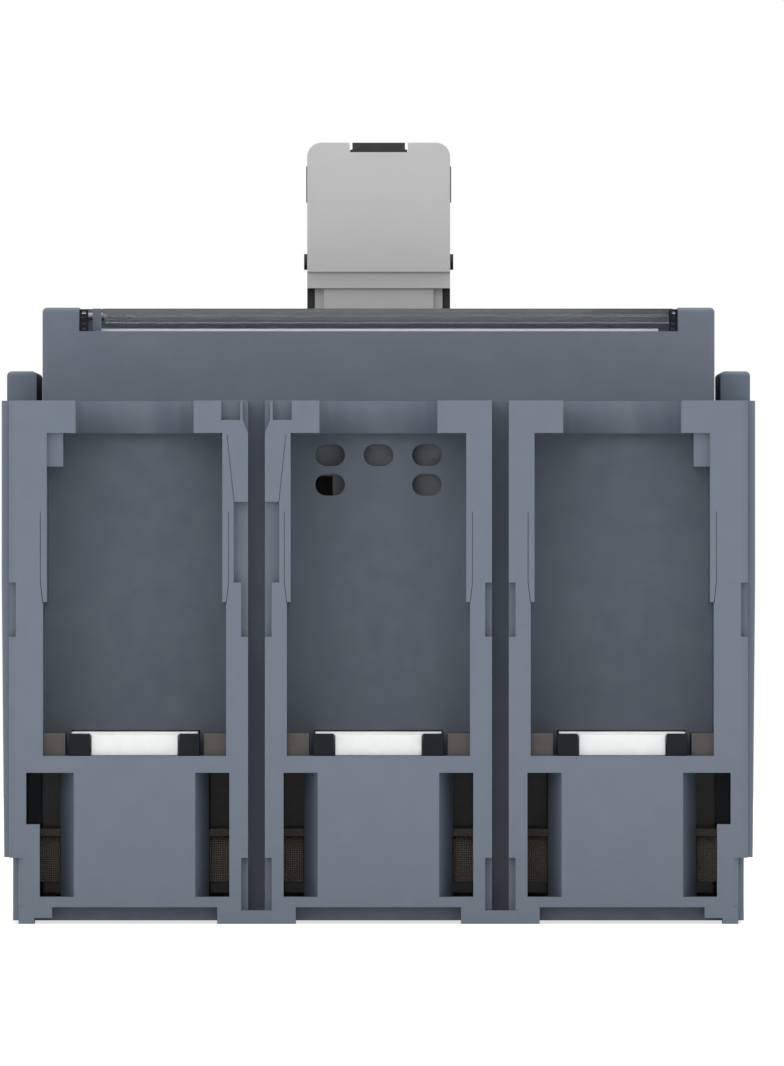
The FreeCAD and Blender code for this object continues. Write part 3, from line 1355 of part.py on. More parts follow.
# A shaft with a finger under the trip button and a paddle before the plunger
def trip_bar():
    shaft = rod("trip_shaft", "x", "trip_bar_radius",
                ("-plate_inner_x - plate_thickness - trip_bar_overhang", "trip_bar_end"),
                "trip_bar_y", "trip_bar_height")
    finger_top = "button_stem_bottom - trip_finger_gap"
    finger_tip = "button_y + trip_finger_reach"
    finger = plate("trip_finger", "YZ_Plane", [
        ("trip_bar_y - trip_finger_root", "trip_bar_height - trip_finger_heel"),
        ("trip_bar_y + trip_finger_root", "trip_bar_height - trip_finger_shoulder"),
        (finger_tip, f"{finger_top} - trip_finger_thickness"),
        (finger_tip, finger_top),
        ("button_y - trip_finger_flat", finger_top),
        ("trip_bar_y - trip_finger_root", "trip_bar_height + trip_finger_shoulder")],
        "button_x - trip_finger_width / 2", "trip_finger_width")
    paddle = box("trip_paddle",
                 ("solenoid_x - trip_finger_width / 2", "solenoid_x + trip_finger_width / 2"),
                 ("trip_bar_y - trip_paddle_thickness / 2", "trip_bar_y + trip_paddle_thickness / 2"),
                 ("trip_bar_height", "solenoid_height + trip_paddle_rise"))
    return join("trip_bar_whole", [shaft, finger, paddle])


node("latch_lever", latch_lever())
node("trip_bar", trip_bar())


# Contact rotors, one for each pole, joined by two rods
bar_half = "contact_thickness / 2"
rod_y = "rod_offset * sin(open_angle)"
rod_z = "rod_offset * cos(open_angle)"


def rod_places():
    return [(f"rotor_y + {side} * {rod_y}", f"rotor_height + {side} * {rod_z}") for side in (-1, 1)]


def contact_rotor(pole):
    tag = f"rotor_{pole}"
    journal = f"{compartment_half} + hub_depth"
    drum = rod(f"{tag}_drum", "x", "rotor_radius", pole_span(pole, "rotor_width / 2"),
               "rotor_y", "rotor_height")
    hub = rod(f"{tag}_hub", "x", "hub_radius", pole_span(pole, journal), "rotor_y", "rotor_height")
    slot = box(f"{tag}_slot", ("0", "contact_width"),
               (f"-rotor_radius - {beyond}", f"rotor_radius + {beyond}"),
               (f"-{bar_half}", bar_half))
    slot = tilted(f"{tag}_slot_tilted", slot, f"{pole_x(pole)} - contact_width / 2")
    cuts = [slot]
    for number, (y, z) in enumerate(rod_places()):
        cuts.append(rod(f"{tag}_rod_hole_{number}", "x", "rod_radius",
                        pole_span(pole, f"{journal} + {beyond}"), y, z))
    if pole == "middle":
        spans = both_sides("contact_width / 2 + drive_pin_gap", f"rotor_width / 2 + {beyond}")
        for number, span in enumerate(spans):
            cuts.append(rod(f"{tag}_drive_hole_{number}", "x", "link_pin_radius", span,
                            "drive_pin_y", "drive_pin_height"))
    return cut(tag, join(f"{tag}_solid", [drum, hub]), cuts)


# A piece drawn about the rotor's axis, turned to the open angle and put on it
def tilted(name, thing, x):
    holder = doc.addObject("Part::Compound", name)
    holder.Links = [thing]
    holder.Placement.Rotation = FreeCAD.Rotation(FreeCAD.Vector(1, 0, 0), -1)
    bind(holder, "Placement.Rotation.Angle", "-open_angle")
    return place(holder, x, "rotor_y", "rotor_height")


# A double-ended copper blade with a waist at each tip
def moving_contact(pole):
    blade = plate(f"blade_{pole}", "YZ_Plane", [
        ("-contact_reach", f"-{bar_half}"), ("contact_reach - contact_tip_length", f"-{bar_half}"),
        ("contact_reach", f"{bar_half} - contact_tip_root"), ("contact_reach", bar_half),
        ("-contact_reach + contact_tip_length", bar_half),
        ("-contact_reach", f"-{bar_half} + contact_tip_root")], "0", "contact_width")
    return tilted(f"blade_{pole}_tilted", blade, f"{pole_x(pole)} - contact_width / 2")


def rotor_rods():
    reach = f"pole_pitch + {compartment_half} + hub_depth"
    return group("rod_pair", [rod(f"rotor_rod_{number}", "x", "rod_radius", (f"-({reach})", reach), y, z)
                              for number, (y, z) in enumerate(rod_places())])


def link_drive_pins():
    return group("drive_pins", [
        rod(f"drive_pin_{number}", "x", "link_pin_radius", span, "drive_pin_y", "drive_pin_height")
        for number, span in enumerate(both_sides("contact_width / 2 + drive_pin_gap",
                                                 "lower_link_x + link_thickness + pin_overhang"))])


# Blocks that close the slots above the rotor hubs
def bearing_caps():
    caps = []
    edge = f"pole_pitch + {compartment_half}"
    spans = {
        "left": (f"-({edge} + hub_depth)", f"-({edge})"),
        "inner_left": ("-pole_pitch / 2 - pole_wall / 2", "-pole_pitch / 2 + pole_wall / 2"),
        "inner_right": ("pole_pitch / 2 - pole_wall / 2", "pole_pitch / 2 + pole_wall / 2"),
        "right": (edge, f"{edge} + hub_depth"),
    }
    for name, (low, high) in spans.items():
        block = box(f"cap_block_{name}", (low, high), ("rotor_y - hub_radius", "rotor_y + hub_radius"),
                    ("rotor_height + cap_gap", "split_height"))
        seat = rod(f"cap_seat_{name}", "x", "hub_radius + hub_gap",
                   (f"{low} - {beyond}", f"{high} + {beyond}"), "rotor_y", "rotor_height")
        caps.append(cut(f"cap_{name}", block, [seat]))
    return group("cap_set", caps)


for pole in poles:
    node(f"contact_rotor_{pole}", contact_rotor(pole))
    node(f"moving_contact_{pole}", moving_contact(pole))
node("rotor_rods", rotor_rods())
node("link_drive_pins", link_drive_pins())
node("rotor_bearing_caps", bearing_caps())


# Terminals with their fixed contacts
# A bent copper bar: tongue, bolt pad, jog and the fixed contact
def terminal(pole, end):
    tag = f"{end}_{pole}"
    way = ends[end]
    low = "terminal_height"
    high = "terminal_height + terminal_thickness"
    if end == "load":
        contact_face = f"rotor_height - {bar_half} - contact_gap"
        inner_top = f"{contact_face} - contact_tip_thickness"
        inner_low = f"{inner_top} - terminal_thickness"
        tip_heights = (inner_top, contact_face)
    else:
        contact_face = f"rotor_height + {bar_half} + contact_gap"
        inner_low = f"{contact_face} + contact_tip_thickness"
        inner_top = f"{inner_low} + terminal_thickness"
        tip_heights = (contact_face, inner_low)
    jog_start = "-bar_jog_start" if end == "load" else f"{room_end} - line_jog_gap"
    jog_end = "-bar_jog_end" if end == "load" else f"{room_end} - line_jog_gap - line_jog_length"
    tip = f"{way} * rotor_y + contact_reach"
    shoulder = "body_length / 2 - terminal_set_back - terminal_tongue_length"
    outline = [(shoulder, low), (shoulder, high), (jog_start, high), (jog_end, inner_top),
               (f"{tip} - contact_tip_length", inner_top), (f"{tip} - contact_tip_length", inner_low),
               (jog_end, inner_low), (jog_start, low)]
    outline = [(f"{way} * ({y})", z) for y, z in outline]
    half = "terminal_width / 2"
    bar = plate(f"{tag}_bar", "YZ_Plane", outline, f"{pole_x(pole)} - {half}", "terminal_width")
    tongue = box(f"{tag}_tongue", pole_span(pole, "terminal_tongue_width / 2"),
                 end_span(end, shoulder, "body_length / 2 - terminal_set_back"),
                 (low, f"{high} - terminal_tongue_drop"))
    pad = box(f"{tag}_contact_pad", pole_span(pole, "contact_width / 2"),
              end_span(end, f"{tip} - contact_tip_length", tip), tip_heights)
    hole = rod(f"{tag}_bolt_hole", "z", "terminal_hole_radius", pole_x(pole),
               f"{way} * (body_length / 2 - terminal_hole_inset)",
               (f"{low} - {beyond}", f"{high} + {beyond}"))
    return cut(f"{tag}_terminal", join(f"{tag}_terminal_solid", [bar, tongue, pad]), [hole])


# Square nuts held in pockets under the bars
def terminal_nuts():
    nuts = []
    for pole in poles:
        for end in ends:
            y = f"{ends[end]} * (body_length / 2 - terminal_hole_inset)"
            tag = f"{end}_{pole}"
            block = box(f"nut_block_{tag}", pole_span(pole, "nut_width / 2"),
                        (f"{y} - nut_width / 2", f"{y} + nut_width / 2"),
                        ("terminal_height - nut_height", "terminal_height"))
            bore = rod(f"nut_bore_{tag}", "z", "nut_bore_radius", pole_x(pole), y,
                       (f"terminal_height - nut_height - {beyond}", f"terminal_height + {beyond}"))
            nuts.append(cut(f"nut_{tag}", block, [bore]))
    return group("nut_set", nuts)


# A dark keeper with a post on each side of the tongue and a foot under it
def terminal_keeper(pole, end):
    tag = f"{end}_{pole}"
    pieces = [box(f"keeper_foot_{tag}", pole_span(pole, "keeper_half_width"),
                  keeper_reach(end, "keeper_foot_set_back"),
                  ("terminal_height - keeper_foot_height", "terminal_height"))]
    for side in (-1, 1):
        span = ordered(side, f"{pole_x(pole)} + {side} * (terminal_tongue_width / 2 + terminal_gap)",
                       f"{pole_x(pole)} + {side} * keeper_half_width")
        pieces.append(box(f"keeper_post_{tag}_{side + 1}", span, keeper_reach(end, "keeper_set_back"),
                          ("terminal_height", "terminal_height + terminal_thickness - keeper_drop")))
    return join(f"keeper_{tag}", pieces)


# Fibre strips that centre each bar in its well
def terminal_spacers():
    strips = []
    for end in ends:
        for pole in poles:
            for side in (-1, 1):
                span = ordered(side, f"{pole_x(pole)} + {side} * spacer_half_width",
                               f"{pole_x(pole)} + {side} * well_width / 2")
                strips.append(box(f"spacer_{end}_{pole}_{side + 1}", span,
                                  end_span(end, well_start, "body_length / 2 - terminal_set_back"),
                                  ("terminal_height", "terminal_height + terminal_thickness - spacer_drop")))
    return group("spacer_set", strips)


for end in ends:
    for pole in poles:
        node(f"{end}_terminal_{pole}", terminal(pole, end))
    keepers = [terminal_keeper(pole, end) for pole in poles]
    node(f"{end}_terminal_keepers", group(f"{end}_keeper_set", keepers))
node("terminal_spacers", terminal_spacers())
node("terminal_nuts", terminal_nuts())


# Arc chutes: fibre boards with steel plates between them
def arc_chute(pole, end):
    tag = f"{end}_{pole}"
    tip = f"{ends[end]} * rotor_y + chute_start"
    far_end = "-transformer_end - chute_gap" if end == "load" else f"{room_end} - chute_gap"
    if end == "load":
        plates_from = "terminal_height + terminal_thickness"
        top = "load_chute_height"
        count = sizes_mm["load_chute_plates"]
    else:
        plates_from = f"{floor_top} + chute_plate_pitch"
        top = "line_chute_height"
        count = sizes_mm["line_chute_plates"]
    reach = end_span(end, tip, far_end)
    pieces = []
    for side in (-1, 1):
        span = ordered(side, f"{pole_x(pole)} + {side} * chute_board_x",
                       f"{pole_x(pole)} + {side} * (chute_board_x + chute_board_thickness)")
        pieces.append(box(f"board_{tag}_{side + 1}", span, reach, (floor_top, top)))
    notch = "chute_notch_width / 2"
    outline = [("-chute_board_x", tip), (f"-{notch}", tip), ("0", f"{tip} + chute_notch_depth"), (notch, tip),
               ("chute_board_x", tip), ("chute_board_x", far_end), ("-chute_board_x", far_end)]
    outline = [(f"{pole_x(pole)} + {x}", f"{ends[end]} * ({y})") for x, y in outline]
    for number in range(count):
        pieces.append(plate(f"splitter_{tag}_{number}", "XY_Plane", outline,
                            f"{plates_from} + {number} * chute_plate_pitch", "chute_plate_thickness"))
    return group(f"chute_{tag}", pieces)


for end in ends:
    node(f"{end}_arc_chutes", group(f"{end}_chute_set", [arc_chute(pole, end) for pole in poles]))


# Exhaust grids in the lower slots
def exhaust_grids(end):
    grids = []
    back = "body_length / 2 - grid_set_back - grid_bar_depth"
    for pole in poles:
        for side in (-1, 1):
            tag = f"{end}_{pole}_{side + 1}"
            span = ordered(side, f"{pole_x(pole)} + {side} * slot_inner_edge",
                           f"{pole_x(pole)} + {side} * slot_far_edge")
            grids.append(join(f"grid_{tag}", [
                box(f"grid_bar_{tag}", span, end_span(end, back, f"{back} + grid_bar_depth"),
                    ("grid_bar_height", "grid_bar_height + grid_thickness")),
                box(f"grid_plate_{tag}", span, end_span(end, back, f"{back} + grid_thickness"),
                    ("grid_plate_bottom", "grid_bar_height + grid_thickness"))]))
    return group(f"grid_set_{end}", grids)


for end in ends:
    node(f"{end}_exhaust_grids", exhaust_grids(end))


# Current transformers on the load bars
transformer_start = f"(transformer_gap - ({room_end}))"


def current_transformer(pole):
    half = "transformer_width / 2"
    hole_half = "transformer_hole_width / 2"
    ring = rounded_block(f"transformer_ring_{pole}", pole_span(pole, half),
                         (transformer_start, "transformer_end"), (floor_top, "transformer_height"),
                         "transformer_hole_margin",
                         lambda edge: edge.BoundBox.XLength + edge.BoundBox.ZLength < near_mm)
    window = box(f"transformer_window_{pole}", pole_span(pole, hole_half),
                 (f"{transformer_start} - {beyond}", f"transformer_end + {beyond}"),
                 ("terminal_height - transformer_hole_margin",
                  "terminal_height + terminal_thickness + transformer_hole_margin"))
    return cut(f"transformer_{pole}", ring, [window])


node("current_transformers", group("transformer_set", [current_transformer(pole) for pole in poles]))


# Trip unit
unit_half = "(nose_width / 2 - unit_margin)"
board_half = f"({unit_half} - unit_wall - board_gap)"


def trip_unit_housing():
    shell = box("unit_block", (f"-{unit_half}", unit_half), ("unit_start", "unit_end"),
                ("split_height", "unit_top"))
    cuts = [
        box("unit_room", (f"-{unit_half} + unit_wall", f"{unit_half} - unit_wall"),
            ("unit_start + unit_wall", "unit_end - unit_wall"),
            (f"split_height - {beyond}", "unit_top - unit_wall")),
        rod("plunger_way", "y", "plunger_radius + pin_gap", "solenoid_x",
            (f"unit_end - unit_wall - {beyond}", f"unit_end + {beyond}"), "solenoid_height"),
    ]
    for number in (-1, 0, 1):
        cuts.append(rod(f"dial_stem_way_{number + 1}", "z", "dial_stem_radius + pin_gap",
                        f"{number} * dial_pitch", "dial_y",
                        (f"unit_top - unit_wall - {beyond}", f"unit_top + {beyond}")))
    pod = box("unit_pod", ("-pod_half_width", "pod_half_width"),
              (f"-({room_end}) + pod_gap", "unit_start + unit_wall / 2"), ("pod_bottom", "pod_top"))
    notch = box("pod_notch", (f"-pod_half_width - {beyond}", "pod_notch_x"),
                (f"-({room_end})", f"unit_start - {beyond}"), (f"pod_bottom - {beyond}", "pod_notch_top"))
    return join("unit_whole", [cut("unit_shell", shell, cuts), cut("unit_pod_cut", pod, [notch])])


def dial(name, number):
    knob = turned(f"{name}_knob", [
        ("0", "unit_top - dial_stem_length"), ("dial_stem_radius", "unit_top - dial_stem_length"),
        ("dial_stem_radius", "unit_top + dial_lift"), ("dial_radius", "unit_top + dial_lift"),
        ("dial_radius", "dial_top - chamfer"), ("dial_radius - chamfer", "dial_top"), ("0", "dial_top")])
    place(knob, f"{number} * dial_pitch", "dial_y")
    slot = box(f"{name}_slot", (f"{number} * dial_pitch - dial_slot_width / 2",
                                f"{number} * dial_pitch + dial_slot_width / 2"),
               ("dial_y - dial_slot_reach", "dial_y + dial_slot_reach"),
               ("dial_top - dial_slot_depth", f"dial_top + {beyond}"))
    return cut(name, knob, [slot])


node("trip_unit_housing", trip_unit_housing())
node("trip_circuit_board", box(
    "circuit_board", (f"-{board_half}", board_half),
    ("unit_start + unit_wall + board_gap", "unit_end - unit_wall - board_gap"),
    ("board_height", "board_height + board_thickness")))
node("trip_solenoid", cut("solenoid", rod(
    "solenoid_coil", "y", "solenoid_radius", "solenoid_x",
    ("unit_end - unit_wall - solenoid_length", "unit_end - unit_wall"), "solenoid_height"), [
        rod("solenoid_bore", "y", "plunger_radius + pin_gap", "solenoid_x",
            ("plunger_tip - plunger_length - plunger_gap", "unit_end"), "solenoid_height")]))
node("trip_plunger", rod("plunger", "y", "plunger_radius", "solenoid_x",
                         ("plunger_tip - plunger_length", "plunger_tip"), "solenoid_height"))
for number, name in ((-1, "overload_dial"), (0, "delay_dial"), (1, "fault_dial")):
    node(name, dial(name + "_body", number))


# Trip button with its return spring
def trip_button():
    flange_top = "nose_height - nose_wall - flange_gap"
    button = turned("button", [
        ("0", "button_stem_bottom"), ("button_stem_radius", "button_stem_bottom"),
        ("button_stem_radius", f"{flange_top} - button_flange_height"),
        ("button_flange_radius", f"{flange_top} - button_flange_height"),
        ("button_flange_radius", flange_top), ("button_radius", flange_top),
        ("button_radius", "nose_height - button_proud - chamfer"),
        ("button_radius - chamfer", "nose_height - button_proud"), ("0", "nose_height - button_proud")])
    return place(button, "button_x", "button_y")


def button_spring():
    low = "button_boss_bottom + button_retainer_thickness"
    length = f"nose_height - nose_wall - flange_gap - button_flange_height - ({low})"
    outline = coil_outline(low, length, "button_coil_radius", "spring_wire", "button_coils")
    return place(turned("button_coil", outline), "button_x", "button_y")


node("trip_button", trip_button())
node("trip_button_spring", button_spring())
retainer = turned("button_retainer", [
    ("button_stem_radius + pin_gap", "button_boss_bottom"), ("button_boss_bore", "button_boss_bottom"),
    ("button_boss_bore", "button_boss_bottom + button_retainer_thickness"),
    ("button_stem_radius + pin_gap", "button_boss_bottom + button_retainer_thickness")])
node("trip_button_retainer", place(retainer, "button_x", "button_y"))

doc.recompute()
failed = [thing.Name for thing in doc.Objects if "Invalid" in thing.State or "Error" in thing.State]
if failed:
    raise ValueError(f"these objects failed: {failed}")
for thing in nodes:
    if thing.Shape.isNull() or not thing.Shape.isValid():
        raise ValueError(f"{thing.Label} has no valid shape")
os.makedirs("parts", exist_ok=True)
for thing in nodes:
    thing.Shape.exportStep(f"parts/{thing.Label}.step")
print(f"{len(nodes)} nodes written")
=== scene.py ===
import json
import math
import bmesh
import bpy
from mathutils import Matrix, Vector


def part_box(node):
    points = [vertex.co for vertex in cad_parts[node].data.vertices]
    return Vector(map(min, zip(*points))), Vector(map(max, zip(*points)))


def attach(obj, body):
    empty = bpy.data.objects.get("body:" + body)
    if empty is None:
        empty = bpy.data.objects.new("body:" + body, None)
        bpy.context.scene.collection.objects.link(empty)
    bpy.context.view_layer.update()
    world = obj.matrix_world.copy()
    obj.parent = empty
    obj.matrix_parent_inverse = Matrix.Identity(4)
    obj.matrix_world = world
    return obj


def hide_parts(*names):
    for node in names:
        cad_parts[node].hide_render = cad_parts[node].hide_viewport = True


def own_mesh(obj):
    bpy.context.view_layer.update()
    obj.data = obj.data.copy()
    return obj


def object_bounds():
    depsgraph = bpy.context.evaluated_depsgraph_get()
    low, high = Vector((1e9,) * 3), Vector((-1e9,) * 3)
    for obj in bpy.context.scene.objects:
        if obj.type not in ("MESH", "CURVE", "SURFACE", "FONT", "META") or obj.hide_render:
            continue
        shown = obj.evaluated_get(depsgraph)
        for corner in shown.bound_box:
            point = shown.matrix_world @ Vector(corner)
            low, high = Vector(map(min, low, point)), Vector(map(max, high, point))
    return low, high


# Three-pole moulded case circuit breaker on its back, seen square on at its load end.
# Sizes are in metres, in the frame's own axes: +Z out of the front, -Y the load end.

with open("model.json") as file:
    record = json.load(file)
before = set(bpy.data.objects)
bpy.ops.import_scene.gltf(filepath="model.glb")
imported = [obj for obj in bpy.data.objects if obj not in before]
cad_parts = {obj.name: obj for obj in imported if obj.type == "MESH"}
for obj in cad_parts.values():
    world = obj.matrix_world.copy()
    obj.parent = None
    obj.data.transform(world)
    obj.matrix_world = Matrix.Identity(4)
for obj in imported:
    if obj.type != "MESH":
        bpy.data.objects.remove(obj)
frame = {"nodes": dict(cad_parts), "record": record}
cadLow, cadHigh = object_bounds()
nodes = frame["nodes"]
slotOfNode = {row["node"]: row["material_slot"] for row in frame["record"]["subparts"]}
behaviour = frame["record"]["behaviour"]
bodyOfNode = {node: body for body, members in behaviour["bodies"].items() for node in members}
mm = 0.001

# The flap's hinge pins are blackened, unlike the other pieces in their slot
finishOfNode = {**slotOfNode, "flap_hinge_pins": "pin_steel"}


# Small helpers for node trees

def addNode(tree, kind, values=None, **settings):
    node = tree.nodes.new(kind)
    for name, value in settings.items():
        setattr(node, name, value)
    for socket, value in (values or {}).items():
        node.inputs[socket].default_value = value
    return node


def startMaterial(name, shaderValues):
    material = bpy.data.materials.new(name)
    material.use_nodes = True
    tree = material.node_tree
    shader = tree.nodes["Principled BSDF"]
    for socket, value in shaderValues.items():
        shader.inputs[socket].default_value = value
    place = addNode(tree, "ShaderNodeTexCoord").outputs["Object"]
    return material, tree, shader, place


# Noise stays mostly within this span, which spread() stretches over the asked one
noiseLook = {
    "roughness": 0.55,
    "mostlyFrom": 0.3,
    "mostlyTo": 0.7,
}


def addNoise(tree, place, scale, detail, stretch=None):
    if stretch:
        turn = addNode(tree, "ShaderNodeMapping", {"Scale": stretch})
        tree.links.new(place, turn.inputs["Vector"])
        place = turn.outputs["Vector"]
    noise = addNode(tree, "ShaderNodeTexNoise", {
        "Scale": scale, "Detail": detail, "Roughness": noiseLook["roughness"]})
    tree.links.new(place, noise.inputs["Vector"])
    return noise.outputs["Fac"]


def spread(tree, factor, low, high):
    ramp = addNode(tree, "ShaderNodeMapRange", {
        "From Min": noiseLook["mostlyFrom"], "From Max": noiseLook["mostlyTo"],
        "To Min": low, "To Max": high})
    tree.links.new(factor, ramp.inputs["Value"])
    return ramp.outputs["Result"]


def mixColours(tree, factor, first, second):
    ramp = tree.nodes.new("ShaderNodeValToRGB")
    ramp.color_ramp.elements[0].color = (*first, 1)
    ramp.color_ramp.elements[1].color = (*second, 1)
    tree.links.new(factor, ramp.inputs["Fac"])
    return ramp.outputs["Color"]


def shade(colour, factor):
    return tuple(min(1.0, channel * factor) for channel in colour)


def addBump(tree, shader, height, strength, distance):
    bump = addNode(tree, "ShaderNodeBump", {"Strength": strength, "Distance": distance})
    tree.links.new(height, bump.inputs["Height"])
    tree.links.new(bump.outputs["Normal"], shader.inputs["Normal"])


# Painted shade in the hollows and painted highlight on the ridges of a relief
def paintReliefShading(tree, shader, height, colour, look):
    tone = mixColours(tree, height, shade(colour, look["dark"]), shade(colour, look["light"]))
    tree.links.new(tone, shader.inputs["Base Color"])
    addBump(tree, shader, height, look["bumpStrength"], look["bumpDepth"])


# Moulded plastic: a fine spark-eroded grain, soft tone drift and patches of more and less gloss

plasticLook = {
    "ior": 1.48,
    "grainScale": 2600.0,
    "grainDetail": 2.0,
    "grainStrength": 0.35,
    "grainDepth": 0.03 * mm,
    "driftScale": 28.0,
    "driftDetail": 4.0,
    "driftRange": 0.05,
    "glossScale": 252.0,
    "glossDetail": 3.0,
    "roughLow": 0.46,
    "roughHigh": 0.62,
}


def mouldedPlastic(name, colour, grain=plasticLook["grainStrength"], **shaderValues):
    look = plasticLook
    material, tree, shader, place = startMaterial(name, {"IOR": look["ior"], **shaderValues})
    drift = addNoise(tree, place, look["driftScale"], look["driftDetail"])
    darker, lighter = (shade(colour, 1 + sign * look["driftRange"]) for sign in (-1, 1))
    tone = mixColours(tree, drift, darker, lighter)
    tree.links.new(tone, shader.inputs["Base Color"])
    fine = addNoise(tree, place, look["grainScale"], look["grainDetail"])
    gloss = addNoise(tree, place, look["glossScale"], look["glossDetail"])
    tree.links.new(spread(tree, gloss, look["roughLow"], look["roughHigh"]), shader.inputs["Roughness"])
    addBump(tree, shader, fine, grain, look["grainDepth"])
    return material


# Sheet steel, pins and plated bars: streaks along one axis with small pits

metalLook = {
    "streakScale": 900.0,
    "streakDetail": 3.0,
    "streakStretch": (1.0, 0.06, 1.0),
    "streakStrength": 0.25,
    "streakDepth": 0.02 * mm,
    "patchScale": 60.0,
    "patchDetail": 5.0,
    "patchDark": 0.9,
    "patchLight": 1.06,
    "roughLow": 0.28,
    "roughHigh": 0.46,
}


def platedMetal(name, colour, stretch=metalLook["streakStretch"], roughLow=metalLook["roughLow"],
                roughHigh=metalLook["roughHigh"], metallic=1.0):
    look = metalLook
    material, tree, shader, place = startMaterial(name, {"Metallic": metallic})
    streaks = addNoise(tree, place, look["streakScale"], look["streakDetail"], stretch)
    patches = addNoise(tree, place, look["patchScale"], look["patchDetail"])
    tone = mixColours(tree, patches, shade(colour, look["patchDark"]), shade(colour, look["patchLight"]))
    tree.links.new(tone, shader.inputs["Base Color"])
    tree.links.new(spread(tree, streaks, roughLow, roughHigh), shader.inputs["Roughness"])
    addBump(tree, shader, streaks, look["streakStrength"], look["streakDepth"])
    return material


# Clear sheet with painted shade along its front edge: a dark, hardly clear band that stands in for the
# light lost where it travels far inside the sheet

clearLook = {
    "ior": 1.49,
    "hazeScale": 120.0,
    "hazeDetail": 4.0,
    "hazeDark": 0.94,
    "hazeLight": 1.04,
    "sideWallBelow": 0.4,
    "flatAbove": 0.9,
    "edgeDepth": 2.0 * mm,
    "edgeClearness": 0.1,
    "roughLow": 0.02,
    "roughHigh": 0.05,
}


def clearPlastic(name, colour, edgeShadeColour, clearness, edgeEnd):
    look = clearLook
    material, tree, shader, place = startMaterial(name, {"IOR": look["ior"]})
    haze = addNoise(tree, place, look["hazeScale"], look["hazeDetail"])
    sheet = mixColours(tree, haze, shade(colour, look["hazeDark"]), shade(colour, look["hazeLight"]))
    # Painted shade: upright faces near the front edge take the dark edge colour and lose most of their
    # clearness
    facing = addNode(tree, "ShaderNodeSeparateXYZ")
    tree.links.new(addNode(tree, "ShaderNodeTexCoord").outputs["Normal"], facing.inputs[0])
    upright = addNode(tree, "ShaderNodeMath", operation="ABSOLUTE")
    tree.links.new(facing.outputs["Z"], upright.inputs[0])
    sideWall = addNode(tree, "ShaderNodeMapRange", {
        "From Min": look["sideWallBelow"], "From Max": look["flatAbove"], "To Min": 1.0, "To Max": 0.0})
    tree.links.new(upright.outputs[0], sideWall.inputs["Value"])
    along = addNode(tree, "ShaderNodeSeparateXYZ")
    tree.links.new(place, along.inputs[0])
    isFront = addNode(tree, "ShaderNodeMath", {1: edgeEnd}, operation="LESS_THAN")
    tree.links.new(along.outputs["Y"], isFront.inputs[0])
    shadedEdge = addNode(tree, "ShaderNodeMath", operation="MULTIPLY")
    tree.links.new(sideWall.outputs["Result"], shadedEdge.inputs[0])
    tree.links.new(isFront.outputs[0], shadedEdge.inputs[1])
    edgeShading = addNode(tree, "ShaderNodeMix", data_type="RGBA")
    tree.links.new(shadedEdge.outputs[0], edgeShading.inputs["Factor"])
    tree.links.new(sheet, edgeShading.inputs["A"])
    edgeShading.inputs["B"].default_value = (*edgeShadeColour, 1)
    tree.links.new(edgeShading.outputs["Result"], shader.inputs["Base Color"])
    clear = addNode(tree, "ShaderNodeMapRange", {"To Min": clearness, "To Max": look["edgeClearness"]})
    tree.links.new(shadedEdge.outputs[0], clear.inputs["Value"])
    tree.links.new(clear.outputs["Result"], shader.inputs["Transmission Weight"])
    tree.links.new(spread(tree, haze, look["roughLow"], look["roughHigh"]), shader.inputs["Roughness"])
    return material


# Woven strips: two crossed waves, with painted shade where they dip and painted highlight where they rise

fibreLook = {
    "roughness": 0.8,
    "distortion": 0.6,
    "detail": 1.0,
    # dark and light paint shade into the weave's hollows and highlight onto its crests
    "dark": 0.55,
    "light": 1.25,
    "bumpStrength": 0.6,
    "bumpDepth": 0.2 * mm,
}


def wovenFibre(name, colour, pitch):
    material, tree, shader, place = startMaterial(name, {"Roughness": fibreLook["roughness"]})
    crossing = addNode(tree, "ShaderNodeMath", operation="MULTIPLY")
    for number, direction in enumerate("XZ"):
        wave = addNode(tree, "ShaderNodeTexWave", {
            "Scale": 1 / pitch, "Distortion": fibreLook["distortion"], "Detail": fibreLook["detail"]},
            bands_direction=direction)
        tree.links.new(place, wave.inputs["Vector"])
        tree.links.new(wave.outputs["Fac"], crossing.inputs[number])
    paintReliefShading(tree, shader, crossing.outputs[0], colour, fibreLook)
    return material


# Cast resin: a surface of small cells, with painted shade in their hollows and painted highlight on the
# ridges between them

resinLook = {
    "roughness": 0.35,
    "coat": 0.2,
    "cellScale": 420.0,
    # dark and light paint shade into the cells' hollows and highlight onto their ridges
    "dark": 0.8,
    "light": 1.3,
    "bumpStrength": 0.15,
    "bumpDepth": 0.1 * mm,
}


def castResin(name, colour):
    material, tree, shader, place = startMaterial(name, {
        "Roughness": resinLook["roughness"], "Coat Weight": resinLook["coat"]})
    cells = addNode(tree, "ShaderNodeTexVoronoi", {"Scale": resinLook["cellScale"]})
    tree.links.new(place, cells.inputs["Vector"])
    paintReliefShading(tree, shader, cells.outputs["Distance"], colour, resinLook)
    return material


# Circuit board: lacquered fields with copper traces between them

boardLook = {
    "roughness": 0.3,
    "coat": 0.4,
    "fieldScale": 190.0,
    "traceWidth": 0.03,
    "fieldLight": 1.25,
    "bumpStrength": 0.2,
    "bumpDepth": 0.05 * mm,
}


def solderMask(name, colour, trace):
    look = boardLook
    material, tree, shader, place = startMaterial(name, {
        "Roughness": look["roughness"], "Coat Weight": look["coat"]})
    bricks = addNode(tree, "ShaderNodeTexBrick", {
        "Scale": look["fieldScale"], "Mortar Size": look["traceWidth"], "Color1": (*colour, 1),
        "Color2": (*shade(colour, look["fieldLight"]), 1), "Mortar": (*trace, 1)})
    tree.links.new(place, bricks.inputs["Vector"])
    tree.links.new(bricks.outputs["Color"], shader.inputs["Base Color"])
    addBump(tree, shader, bricks.outputs["Fac"], look["bumpStrength"], look["bumpDepth"])
    return material


# Finishes by the record's slots, with inks for the printed marks and wire for the exhaust grids

